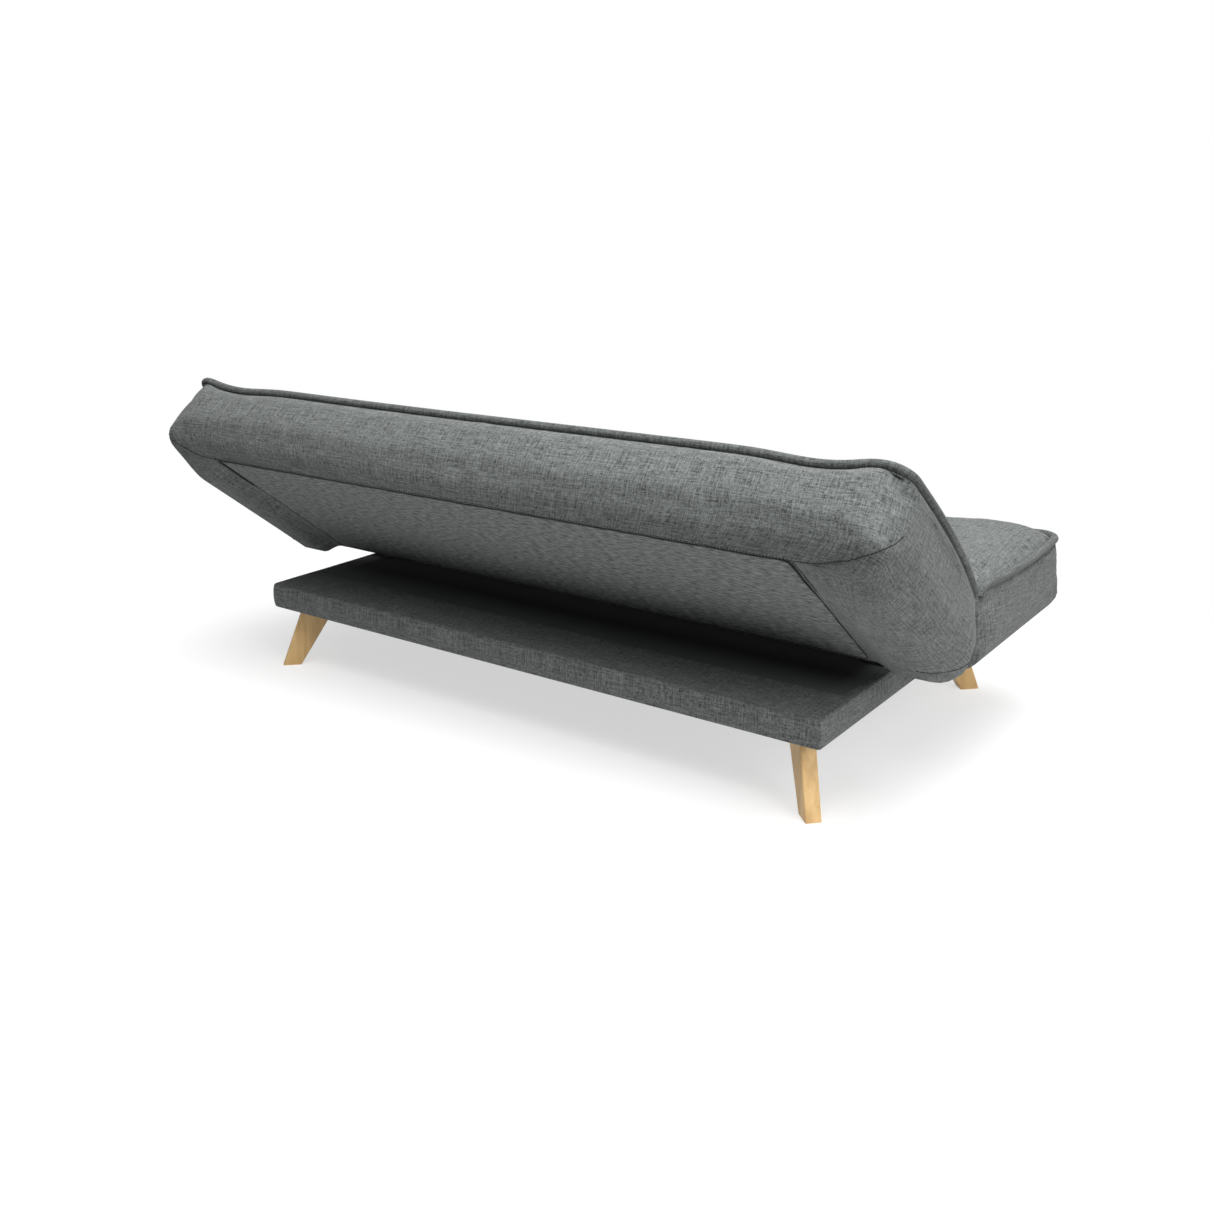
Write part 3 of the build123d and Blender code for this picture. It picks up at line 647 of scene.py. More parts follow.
def end_seams(body):
    """Curved seams at the ends: from each panel corner round the outer corner, and under the back's bags."""
    corner = ((0.7275, 0.479, 0), (0.766, 0.484, 0), (0.805, 0.4945, 0), (0.845, 0.507, 0.008),
              (0.870, 0.512, 0.018), (0.888, 0.507, 0.034), (0.897, 0.492, 0.052), (0.900, 0.478, 0.072))
    bag = ((0.910, -0.010, 0.085), (0.908, 0.005, 0.060), (0.902, 0.025, 0.036), (0.890, 0.045, 0.012),
           (0.870, 0.060, -0.008), (0.845, 0.070, -0.018))
    lines = (corner, bag) if body == "back" else (corner,)
    return [np.array(line) * (side, 1, 1) for line in lines for side in (-1, 1)]


def along_line(line, steps=8):
    """Points along a smooth line through the given ones."""
    ends = np.concatenate([[2 * line[0] - line[1]], line, [2 * line[-1] - line[-2]]])
    made = []
    for a, b, c, d in zip(ends, ends[1:], ends[2:], ends[3:]):
        slope, bend, twist = (c - a) / 2, a - 2.5 * b + 2 * c - d / 2, 1.5 * (b - c) + (d - a) / 2
        made += [b + t * (slope + t * (bend + t * twist)) for t in np.arange(steps) / steps]
    return np.array(made + [line[-1]])


def sink_along(points, line, depth, width):
    """Draws a cover in towards the cushion's middle along a line near its surface."""
    sideways, middle_u, middle_w = 0.15, 0.25, 0.09
    away = np.full(len(points), 1.0)
    for place in along_line(line):
        away = np.minimum(away, np.linalg.norm(points - place, axis=1))
    x, u, w = points.T
    inward = np.stack([-sideways * np.sign(x), middle_u - u, middle_w - w], 1)
    inward /= np.linalg.norm(inward, axis=1)[:, None]
    points += (depth * bell(away, width))[:, None] * inward


def stuffed_cover(size):
    """One cover mesh in the cushion's own space, puffed by a cloth simulation held at its seams."""
    rings = cover_rings(size)
    cap = patch(rings[-1])
    inner = cap[1:-1, 1:-1]
    inner[..., 2] = LEDGE_LEVEL + FACE_LIFT + face_level(inner, size)
    mesh = skin(rings, cap, "cushion_cover")
    mesh = puffed(mesh, rings.shape, size)
    return mesh


def lift_edges(points, body, size):
    """Lifts a cover round its piping with the piping, dishes the seat, raises the edges at the hinge."""
    ledge_width, pipe_width = 0.035, 0.045
    # Pairs of distances at which a share is 0, then 1
    roll_u, roll_x = (0.42, 0.28), (0.85, 0.70)
    middle_u, middle_x = (0.50, 0.44), (0.62, 0.45)
    dish_u = (0.08, 0.20)
    hinge_start_u, hinge_end_u, hinge_x = (0, 0.05), (0.22, 0.06), (0.87, 0.79)
    x, u, w = np.abs(points[:, 0]), points[:, 1], points[:, 2]
    inside = np.minimum(LEDGE_HALF - x, LEDGE_OUTER - u)
    near_pipe = bell(LEDGE_LEVEL - w, ledge_width) * bell(np.clip(inside, 0, None), pipe_width)
    plain = size.seat_rise if body == "seat" else 0.0
    lift = near_pipe * (edge_lift(points, body, size) - plain)
    lift += plain * smoothstep(0.4 * LEDGE_LEVEL, LEDGE_LEVEL, w)
    if body == "seat":
        behind_roll = smoothstep(*roll_u, u) * smoothstep(*roll_x, x)
        middle = smoothstep(*middle_u, u) * smoothstep(*middle_x, x)
        dish = np.maximum(behind_roll, middle) * smoothstep(*dish_u, u)
        on_face = smoothstep(LEDGE_LEVEL, LEDGE_LEVEL + size.crown, w)
        lift += on_face * (size.seat_crown_rise - size.seat_dish * dish)
    by_hinge = smoothstep(*hinge_start_u, u) * smoothstep(*hinge_end_u, u) * smoothstep(*hinge_x, x)
    lift += (size.hinge_rise - plain) * by_hinge * smoothstep(0.5 * LEDGE_LEVEL, LEDGE_LEVEL, w)
    points[:, 2] += lift


def puffed(mesh, shape, size):
    """The mesh after a cloth simulation under pressure, with its seams and resting faces held."""
    levels, count = shape[:2]
    before = read_points(mesh)
    obj = show("puffing_cover", mesh)
    held = obj.vertex_groups.new(name=CLOTH_SETTINGS["vertex_group_mass"])
    number = np.arange(levels * count).reshape(levels, count)
    underside, pipe_seam, hinge_side = slice(len(UNDERSIDE_SHARES)), slice(-3, -1), slice(LONG_CELLS + 1)
    pinned = [number[underside], number[pipe_seam], number[:, hinge_side]]
    held.add(np.unique(np.concatenate([part.ravel() for part in pinned])).tolist(), 1.0, "REPLACE")
    cloth = obj.modifiers.new("Stuffing", "CLOTH")
    for key, value in CLOTH_SETTINGS.items():
        setattr(cloth.settings, key, value)
    cloth.settings.uniform_pressure_force = size.pressure
    cloth.settings.shrink_min = -size.slack
    cloth.settings.effector_weights.gravity = 0
    cloth.collision_settings.use_collision = False
    cloth.point_cache.frame_start = 1
    cloth.point_cache.frame_end = size.puff_frames
    scene = bpy.context.scene
    for step in range(1, size.puff_frames + 1):
        scene.frame_set(step)
    piece = settle(obj, "cushion_cover")
    scene.frame_set(1)
    mesh = piece.data
    bpy.data.objects.remove(piece)
    moved = read_points(mesh) - before
    walls = moved[:levels * count].reshape(levels, count, 3)
    free, smoothing_rounds = slice(1, -3), 3
    for _ in range(smoothing_rounds):
        walls[free] = (2 * walls[free] + np.roll(walls, 1, 1)[free] + np.roll(walls, -1, 1)[free]) / 4
    moved *= 1 - (1 - size.face_puff) * smoothstep(LEDGE_LEVEL, LEDGE_LEVEL + size.crown, before[:, 2:])
    length = np.linalg.norm(moved, axis=1)
    moved *= np.minimum(1, size.puff_limit / np.maximum(length, TINY))[:, None]
    write_points(mesh, before + moved)
    return mesh


def cut_hinge_slots(piece, body):
    """Opens a cover's edge at each hinge: a slot for the bracket, a pocket for the pivot and ratchet."""
    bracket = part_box("hinge_bracket_right")
    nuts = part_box("pivot_nuts")
    margin, start, hair = 0.003, -0.01, 0.0007
    inner, outer = bracket[0].x - margin, nuts[1].x + margin
    reach = bracket[1].y - HINGE.y + margin
    roof = HINGE_LEVEL + bracket[1].z - HINGE.z + margin
    swing = 3 * margin if body == "seat" else margin
    pocket_reach, pocket_floor, pocket_roof = 0.06, 0.08, HINGE_LEVEL + swing
    slot = ((start, start), (reach + hair, start), (reach + hair, roof - hair), (start, roof - hair))
    pocket = ((start, pocket_floor), (pocket_reach, pocket_floor), (pocket_reach, pocket_roof),
              (reach, pocket_roof), (reach, roof), (start, roof))
    for side in (-1, 1):
        for across, profile in (((inner + hair, bracket[1].x + margin), slot), ((inner, outer), pocket)):
            piece = cut_prism(piece, body_matrix(body), [side * x for x in across], profile)
    return piece


def cut_prism(piece, place, across, profile):
    """The piece less a prism along x, whose profile in (u, w) runs anticlockwise in a cushion's own space."""
    count = len(profile)
    corners = [place @ Vector((x, *point)) for x in sorted(across) for point in profile]
    sides = [(i, (i + 1) % count, count + (i + 1) % count, count + i) for i in range(count)]
    ends = [range(count)[::-1], range(count, 2 * count)]
    prism = bpy.data.meshes.new("slot")
    prism.from_pydata(corners, [], sides + ends)
    cutter = show("slot", prism)
    cut = piece.modifiers.new("Slot", "BOOLEAN")
    cut.operation = "DIFFERENCE"
    cut.solver = "FAST"
    cut.object = cutter
    name, before = piece.name, len(piece.data.polygons)
    piece = settle(piece, name + "_cut")
    piece.name = name
    bpy.data.objects.remove(cutter)
    bpy.data.meshes.remove(prism)
    least_kept = 0.9
    if len(piece.data.polygons) < least_kept * before:
        raise RuntimeError(f"cutting a slot left too little of {name}")
    return piece


# Geometry Nodes: a covered cord along a path, and stitches or staples along a path

def new_tree(name, inputs):
    """A Geometry Nodes tree with named inputs, and the sockets that give them."""
    tree = bpy.data.node_groups.new(name, "GeometryNodeTree")
    tree.interface.new_socket("Geometry", in_out="INPUT", socket_type="NodeSocketGeometry")
    for label, kind in inputs:
        tree.interface.new_socket(label, in_out="INPUT", socket_type=kind)
    tree.interface.new_socket("Geometry", in_out="OUTPUT", socket_type="NodeSocketGeometry")
    return tree, add(tree, "NodeGroupInput").outputs


def close_tree(tree, geometry, material):
    """Ends a tree in smooth shading, Realize Instances and Set Material."""
    smooth = add(tree, "GeometryNodeSetShadeSmooth", {"Geometry": geometry})
    real = add(tree, "GeometryNodeRealizeInstances", {"Geometry": smooth.outputs[0]})
    painted = add(tree, "GeometryNodeSetMaterial", {"Geometry": real.outputs[0], "Material": material})
    add(tree, "NodeGroupOutput", {"Geometry": painted.outputs[0]})


def even_path(tree, mesh, step):
    """The curve along a mesh's edges, with its points a step apart."""
    path = add(tree, "GeometryNodeMeshToCurve", {"Mesh": mesh})
    even = add(tree, "GeometryNodeResampleCurve", {"Curve": path.outputs[0], "Length": step}, mode="LENGTH")
    return even.outputs[0]


def measured(tree, curve, name):
    """A curve whose points hold their distance along it in a named attribute."""
    line = add(tree, "GeometryNodeSplineParameter")
    values = {"Geometry": curve, "Name": name, "Value": line.outputs["Length"]}
    return add(tree, "GeometryNodeStoreNamedAttribute", values, data_type="FLOAT").outputs[0]


def cord_tree():
    """A covered cord of round section along an edge path, with its weave measured along and around it."""
    tree, given = new_tree("covered_cord", (
        ("Radius", "NodeSocketFloat"), ("Step", "NodeSocketFloat"), ("Cloth", "NodeSocketMaterial")))
    path = measured(tree, even_path(tree, given["Geometry"], given["Step"]), "along")
    circle = add(tree, "GeometryNodeCurvePrimitiveCircle", {"Resolution": 14, "Radius": given["Radius"]})
    section = measured(tree, circle.outputs[0], "around")
    tube = add(tree, "GeometryNodeCurveToMesh", {"Curve": path, "Profile Curve": section, "Fill Caps": True})
    close_tree(tree, tube.outputs[0], given["Cloth"])
    return tree


def run_tree():
    """Short rounded bars, such as stitches or staples, set evenly along an edge path."""
    tree, given = new_tree("bars_along_path", (
        ("Pitch", "NodeSocketFloat"), ("Length", "NodeSocketFloat"), ("Thickness", "NodeSocketFloat"),
        ("Finish", "NodeSocketMaterial")))
    path = even_path(tree, given["Geometry"], given["Pitch"])
    bar = add(tree, "GeometryNodeMeshUVSphere", {"Segments": 8, "Rings": 5, "Radius": 0.5})
    size = add(tree, "ShaderNodeCombineXYZ", {
        "X": given["Length"], "Y": given["Thickness"], "Z": given["Thickness"]})
    tangent = add(tree, "GeometryNodeInputTangent")
    turn = add(tree, "FunctionNodeAlignRotationToVector", {"Vector": tangent.outputs[0]}, axis="X")
    bars = add(tree, "GeometryNodeInstanceOnPoints", {
        "Points": path, "Instance": bar.outputs[0], "Rotation": turn.outputs[0], "Scale": size.outputs[0]})
    close_tree(tree, bars.outputs[0], given["Finish"])
    return tree


def grow(name, paths, closed, tree, values):
    """A plain mesh grown by a Geometry Nodes tree along paths of points."""
    points, edges = [], []
    for path in paths:
        first, last = len(points), len(points) + len(path) - 1
        points += [tuple(point) for point in path]
        edges += [(i, i + 1) for i in range(first, last)]
        if closed:
            edges.append((last, first))
    mesh = bpy.data.meshes.new(name + "_path")
    mesh.from_pydata(points, edges, [])
    obj = show(name + "_path", mesh)
    modifier = obj.modifiers.new("Grow", "NODES")
    modifier.node_group = tree
    for item in tree.interface.items_tree:
        if item.in_out == "INPUT" and item.name in values:
            modifier[item.identifier] = values[item.name]
    return settle(obj, name)


# Materials

BLACK = (0, 0, 0)
WHITE = (1, 1, 1)


def new_material(name, roughness, metallic=0.0, specular=0.5):
    """An empty surface: its material, its node tree and its shader."""
    material = bpy.data.materials.new(name)
    material.use_nodes = True
    shader = material.node_tree.nodes["Principled BSDF"]
    for key, value in (("Roughness", roughness), ("Metallic", metallic), ("Specular IOR Level", specular)):
        shader.inputs[key].default_value = value
    return material, material.node_tree, shader


def paint(tree, shader, color, height=None, strength=0.0, distance=0.0):
    """Gives a shader its colour, and a bump of so much strength and depth where a height is given."""
    tree.links.new(color, shader.inputs["Base Color"])
    if height is not None:
        bump = add(tree, "ShaderNodeBump", {"Strength": strength, "Distance": distance, "Height": height})
        tree.links.new(bump.outputs[0], shader.inputs["Normal"])


def noise(tree, vector, scale, detail=3.0, roughness=0.55, distortion=0.0):
    """Noise stretched by a scale in each direction."""
    place = add(tree, "ShaderNodeMapping", {"Vector": vector, "Scale": scale})
    made = add(tree, "ShaderNodeTexNoise", {
        "Vector": place.outputs[0], "Scale": 1.0, "Detail": detail, "Roughness": roughness,
        "Distortion": distortion})
    return made.outputs[0]


def ramp(tree, value, *stops):
    """Colours by value; each stop is a place and a colour."""
    made = add(tree, "ShaderNodeValToRGB", {"Fac": value})
    points = made.color_ramp.elements
    while len(points) < len(stops):
        points.new(1.0)
    for point, (place, color) in zip(points, stops):
        point.position = place
        point.color = (*color, 1.0)
    return made.outputs[0]


def calc(tree, operation, a, b):
    """A sum, product or the like of two values."""
    return add(tree, "ShaderNodeMath", {0: a, 1: b}, operation=operation).outputs[0]


def shaded(tree, color, value, low, high):
    """A colour made darker or lighter by a pattern, from low to high."""
    spread = add(tree, "ShaderNodeMapRange", {"Value": value, "To Min": low, "To Max": high})
    values = {0: color, "Scale": spread.outputs[0]}
    return add(tree, "ShaderNodeVectorMath", values, operation="SCALE").outputs[0]


def bands(tree, vector, pitch, way):
    """Soft bands across one direction, so far apart."""
    values = {"Vector": vector, "Scale": math.pi / 10 / pitch}
    return add(tree, "ShaderNodeTexWave", values, bands_direction=way).outputs["Fac"]


def mixed(tree, share, first, second):
    """The first colour where the share is 0, the second where it is 1."""
    return add(tree, "ShaderNodeMix", {0: share, 6: first, 7: second}, data_type="RGBA").outputs[2]


def between(dark, light, share):
    """A colour that lies so far from a dark one to a light one."""
    return tuple(d + (l - d) * share for d, l in zip(dark, light))


def threads(tree, vector, pitch):
    """The crossing yarns of a plain weave, from 0 between yarns to 1 on them."""
    return calc(tree, "MAXIMUM", *[bands(tree, vector, pitch, way) for way in ("X", "Y")])


def slub_linen(name, finish, vector_of, tone=1.0):
    """Linen with thick and thin yarns both ways, a plain weave and a soft nap."""
    yarn_pitch = 0.0021
    material, tree, shader = new_material(name, 0.95, specular=0.15)
    vector = vector_of(tree)
    short = [noise(tree, vector, scale, 2.0, 0.6) for scale in ((105, 540, 1), (540, 105, 1))]
    long = [noise(tree, vector, scale, 1.0) for scale in ((20, 300, 1), (300, 20, 1))]
    cross = calc(tree, "MULTIPLY", calc(tree, "ADD", *short), 0.3)
    cross = calc(tree, "ADD", cross, calc(tree, "MULTIPLY", calc(tree, "ADD", *long), 0.2))
    # A tone below 1 darkens the whole linen as painted shade, as the piping's is
    dark, light = [tone * Vector(color) for color in (finish.linen_dark, finish.linen_light)]
    color = ramp(tree, cross, (0.39, dark), (0.50, between(dark, light, 0.52)), (0.61, light))
    weave = threads(tree, vector, yarn_pitch)
    color = shaded(tree, color, weave, 0.78, 1.08)
    color = shaded(tree, color, noise(tree, vector, (9, 9, 1), 2.0), 0.90, 1.10)
    height = calc(tree, "ADD", weave, calc(tree, "MULTIPLY", cross, 4.0))
    paint(tree, shader, color, height, strength=0.45, distance=0.0006)
    shader.inputs["Sheen Weight"].default_value = 0.12
    shader.inputs["Sheen Roughness"].default_value = 0.6
    return material


def by_uv(tree):
    """Place on a piece's own UV map."""
    return add(tree, "ShaderNodeTexCoord").outputs["UV"]


def by_object(tree):
    """Place in the object's own space."""
    return add(tree, "ShaderNodeTexCoord").outputs["Object"]


def by_cord(tree):
    """Distance along and around a covered cord."""
    ways = {axis: add(tree, "ShaderNodeAttribute", attribute_name=way).outputs["Fac"]
            for axis, way in (("X", "along"), ("Y", "around"))}
    return add(tree, "ShaderNodeCombineXYZ", ways).outputs[0]


def felt(name, finish):
    """Smooth bonded lining cloth with a faint nap that runs along the sofa."""
    material, tree, shader = new_material(name, 0.97, specular=0.1)
    vector = by_uv(tree)
    nap = noise(tree, vector, (48, 210, 1), 4.0, 0.65)
    fine = noise(tree, vector, (1100, 1300, 1), 2.0)
    color = ramp(tree, nap, (0.37, finish.felt_dark), (0.63, finish.felt_light))
    color = shaded(tree, color, fine, 0.80, 1.20)
    paint(tree, shader, color, fine, strength=0.25, distance=0.0004)
    shader.inputs["Sheen Weight"].default_value = 0.1
    return material


def seam_shade_thread(name, finish):
    """Dull black thread with a twist; the black is partly painted shade, darkening the seams it lies along.
    """
    material, tree, shader = new_material(name, 0.7, specular=0.3)
    twist = noise(tree, by_object(tree), (1800, 1800, 1800), 1.0)
    dark = finish.thread
    paint(tree, shader, ramp(tree, twist, (0.35, dark), (0.65, between(dark, WHITE, 0.02))))
    return material


def leg_wood(name, finish, knots):
    """Oiled honey wood with grain up the leg, fine pores and a few knots."""
    material, tree, shader = new_material(name, 0.42, specular=0.4)
    vector = by_object(tree)
    light, dark = finish.wood_light, finish.wood_dark
    grain = noise(tree, vector, (46, 46, 3.4), 5.0, 0.6, 0.35)
    color = ramp(
        tree, grain, (0.34, between(dark, light, 0.55)), (0.52, between(dark, light, 0.86)), (0.7, light))
    pores = noise(tree, vector, (620, 620, 26), 2.0)
    color = shaded(tree, color, pores, 0.86, 1.10)
    knot_color = (*between(BLACK, dark, 0.75), 1)
    for place, size in knots:
        offset = add(tree, "ShaderNodeVectorMath", {0: vector, 1: place}, operation="SUBTRACT").outputs[0]
        squeezed = add(tree, "ShaderNodeMapping", {"Vector": offset, "Scale": (1.0, 1.0, 0.75)}).outputs[0]
        far = add(tree, "ShaderNodeVectorMath", {0: squeezed}, operation="LENGTH").outputs["Value"]
        ragged = calc(tree, "ADD", far, calc(tree, "MULTIPLY", grain, 0.004))
        stain = add(tree, "ShaderNodeMapRange", {
            "Value": ragged, "From Min": size * 0.35, "From Max": size * 1.5, "To Min": 0.78, "To Max": 0.0},
            interpolation_type="SMOOTHSTEP")
        color = mixed(tree, stain.outputs[0], color, knot_color)
    paint(tree, shader, color, pores, strength=0.15, distance=0.0003)
    return material


def timber(name, finish, scale, layers=False):
    """Sawn softwood or plywood; the scale stretches the grain, and plywood shows layers at its edges."""
    ply_thickness = 0.003
    material, tree, shader = new_material(name, 0.75, specular=0.25)
    vector = by_object(tree)
    grain = noise(tree, vector, scale, 5.0, 0.6, 0.4)
    color = ramp(tree, grain, (0.35, finish.timber_dark), (0.6, finish.timber_light))
    if layers:
        color = shaded(tree, color, bands(tree, vector, ply_thickness, "Z"), 0.75, 1.0)
    paint(tree, shader, color, grain, strength=0.2, distance=0.0004)
    return material


def metal(name, color, metallic, roughness, grain):
    """Coated or plated steel with uneven gloss and a fine surface."""
    material, tree, shader = new_material(name, roughness, metallic)
    vector = by_object(tree)
    cloud = noise(tree, vector, (35, 35, 35), 3.0)
    peel = noise(tree, vector, (grain, grain, grain), 2.0)
    uneven = ramp(tree, cloud, (0.3, between(BLACK, color, 0.8)), (0.7, color))
    paint(tree, shader, uneven, peel, strength=0.12, distance=0.0002)
    gloss = add(tree, "ShaderNodeMapRange", {
        "Value": cloud, "To Min": roughness * 0.7, "To Max": roughness * 1.3})
    tree.links.new(gloss.outputs[0], shader.inputs["Roughness"])
    return material


def bonded_cloth(name, finish):
    """Thin black bonded cloth with pressed dots."""
    material, tree, shader = new_material(name, 0.9, specular=0.2)
    vector = by_object(tree)
    fibres = noise(tree, vector, (420, 420, 420), 3.0, 0.7)
    dark = finish.dust_cloth
    color = ramp(tree, fibres, (0.3, dark), (0.7, between(dark, WHITE, 0.01)))
    dots = add(tree, "ShaderNodeTexVoronoi", {"Vector": vector, "Scale": 450.0})
    paint(tree, shader, color, dots.outputs["Distance"], strength=0.3, distance=0.0003)
    return material


def shade_sheet_cloth(name, finish, low, high, runs):
    """Painted shade for the deck: black bonded cloth that fades to the linen's tone towards its edges, like a
    soft shadow's edge.
    """
    material = bonded_cloth(name, finish)
    tree = material.node_tree
    surface = tree.nodes["Principled BSDF"].inputs["Base Color"]
    black = surface.links[0].from_socket
    place = add(tree, "ShaderNodeSeparateXYZ", {0: by_object(tree)})
    depth = 1.0
    for axis, run in enumerate(runs):
        for edge, inwards in ((low[axis], run), (high[axis], -run)):
            share = add(tree, "ShaderNodeMapRange", {
                "Value": place.outputs[axis], "From Min": edge, "From Max": edge + inwards},
                interpolation_type="SMOOTHSTEP")
            depth = calc(tree, "MULTIPLY", depth, share.outputs[0])
    # The sheet pales to the linen's tone at its edges: the soft edge of the painted shade
    pale = between(finish.linen_dark, finish.linen_light, 0.45)
    tree.links.new(mixed(tree, depth, (*pale, 1), black), surface)
    return material


def dress(name, material):
    """Replaces all the materials of one node of the solid model."""
    mesh = frame["nodes"][name].data
    if not mesh.materials:
        mesh.materials.append(material)
    for i in range(len(mesh.materials)):
        mesh.materials[i] = material


# Operators

class SOFABED_OT_covers(Operator):
    """Make the stuffed linen covers of seat and back"""

    bl_idname = "sofa_bed.covers"
    bl_label = "Cushion covers"

    def execute(self, context):
        scene = context.scene
        size = scene.sofa_cushion
        linen = slub_linen("slub_linen", scene.sofa_finish, by_uv)
        stuffed = stuffed_cover(size)
        stuffed.materials.clear()
        stuffed.materials.append(linen)
        ends = {
            "seat": ([-size.seat_end_lift] * 3, (size.seat_hinge_round, size.seat_outer_round),
                     -size.seat_give),
            "back": ((*size.hinge_hang, size.outer_hang), (size.back_hinge_round, size.back_outer_round),
                     size.bag_bulge),
        }
        for body in ("seat", "back"):
            mesh = stuffed.copy()
            mesh.name = f"{body}_cushion"
            points = read_points(mesh)
            lift_edges(points, body, size)
            slacken_ends(points, *ends[body], size)
            for seam in end_seams(body):
                sink_along(points, seam, size.end_seam_depth, size.end_seam_width)
            write_points(mesh, points)
            mesh.transform(body_matrix(body))
            piece = cut_hinge_slots(show(f"{body}_cushion", mesh), body)
            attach(piece, body)
            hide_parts(f"{body}_cover", f"{body}_foam")
        bpy.data.meshes.remove(stuffed)
        return {"FINISHED"}


class SOFABED_OT_panels(Operator):
    """Make the smooth panels on the underside of the seat and the rear of the back"""

    bl_idname = "sofa_bed.panels"
    bl_label = "Rear and underside panels"

    def execute(self, context):
        cloth = felt("panel_felt_cloth", context.scene.sofa_finish)
        half, hinge, outer = panel_outline()
        thickness = PANEL_BOX[1].z - PANEL_BOX[0].z
        tuck, corner_tuck, edge_run = 0.0015, 0.001, 0.012
        edge_level = 0.4 * thickness
        for body, node in (("seat", "seat_underside_panel"), ("back", "back_rear_panel")):
            rim = ring(half + tuck, hinge - tuck, outer + tuck, PANEL_CORNER + corner_tuck, thickness)
            face = ring(half - tuck, hinge + tuck, outer - tuck, PANEL_CORNER - corner_tuck, edge_level)
            grid = patch(face)
            inner = grid[1:-1, 1:-1]
            from_end = half - np.abs(inner[..., 0])
            from_edge = np.minimum(from_end, np.minimum(inner[..., 1] - hinge, outer - inner[..., 1]))
            inner[..., 2] = edge_level * (1 - smoothstep(0, edge_run, from_edge))
            mesh = skin([rim, face], grid, f"{body}_panel_cloth")
            mesh.flip_normals()
            mesh.materials.append(cloth)
            mesh.transform(body_matrix(body))
            piece = show(f"{body}_panel_cloth", mesh)
            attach(piece, body)
            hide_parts(node)
        return {"FINISHED"}


class SOFABED_OT_piping(Operator):
    """Run the covered piping cord round the ends and outer side of both cushions"""

    bl_idname = "sofa_bed.piping"
    bl_label = "Piping"

    def execute(self, context):
        scene = context.scene
        size, trim = scene.sofa_cushion, scene.sofa_trim
        # The piping's linen is a darker copy of the covers': painted shade
        cloth = slub_linen("piping_linen", scene.sofa_finish, by_cord, scene.sofa_finish.piping_shade_tone)
        tree = cord_tree()
        points = self.route(size, trim.pipe_radius)
        for body in ("seat", "back"):
            place = body_matrix(body)
            lifted = points.copy()
            lifted[:, 2] += edge_lift(points, body, size)
            placed = [place @ Vector(point) for point in lifted]
            piece = grow(f"{body}_piping_cord", [placed], False, tree, {
                "Radius": trim.pipe_radius, "Step": trim.pipe_step, "Cloth": cloth})
            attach(piece, body)
            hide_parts(f"{body}_piping")
        return {"FINISHED"}

    @staticmethod
    def route(size, radius):
        """The cord's line round a cushion; at the hinge its ends dive into the cover's roll."""
        dives = ((84, 0.75), (72, 0.1), (62, -0.5))  # degrees round the roll, and radii proud of it
        hinge_corner = 0.01
        start = size.hinge_gap + size.hinge_round + radius
        half, outer = LEDGE_HALF - PIPE_INSET, LEDGE_OUTER - PIPE_INSET
        line = ring(half, start, outer, size.corner_radius - PIPE_INSET, LEDGE_LEVEL + radius, hinge_corner)
        draw_in(line, half, start, outer, 1, size)
        run = line[LONG_CELLS + len(CORNER_STEPS) - 1:len(line) - len(CORNER_STEPS) + 2]
        dive = []
        for degrees, proud in dives:
            angle = math.radians(degrees)
            reach = size.hinge_round + proud * radius
            u = size.hinge_gap + size.hinge_round - reach * math.cos(angle)
            w = LEDGE_LEVEL - size.hinge_round + reach * math.sin(angle)
            dive.append((half, u, w))
        dive = np.array(dive)
        return np.concatenate([dive[::-1], run, dive * (-1, 1, 1)])


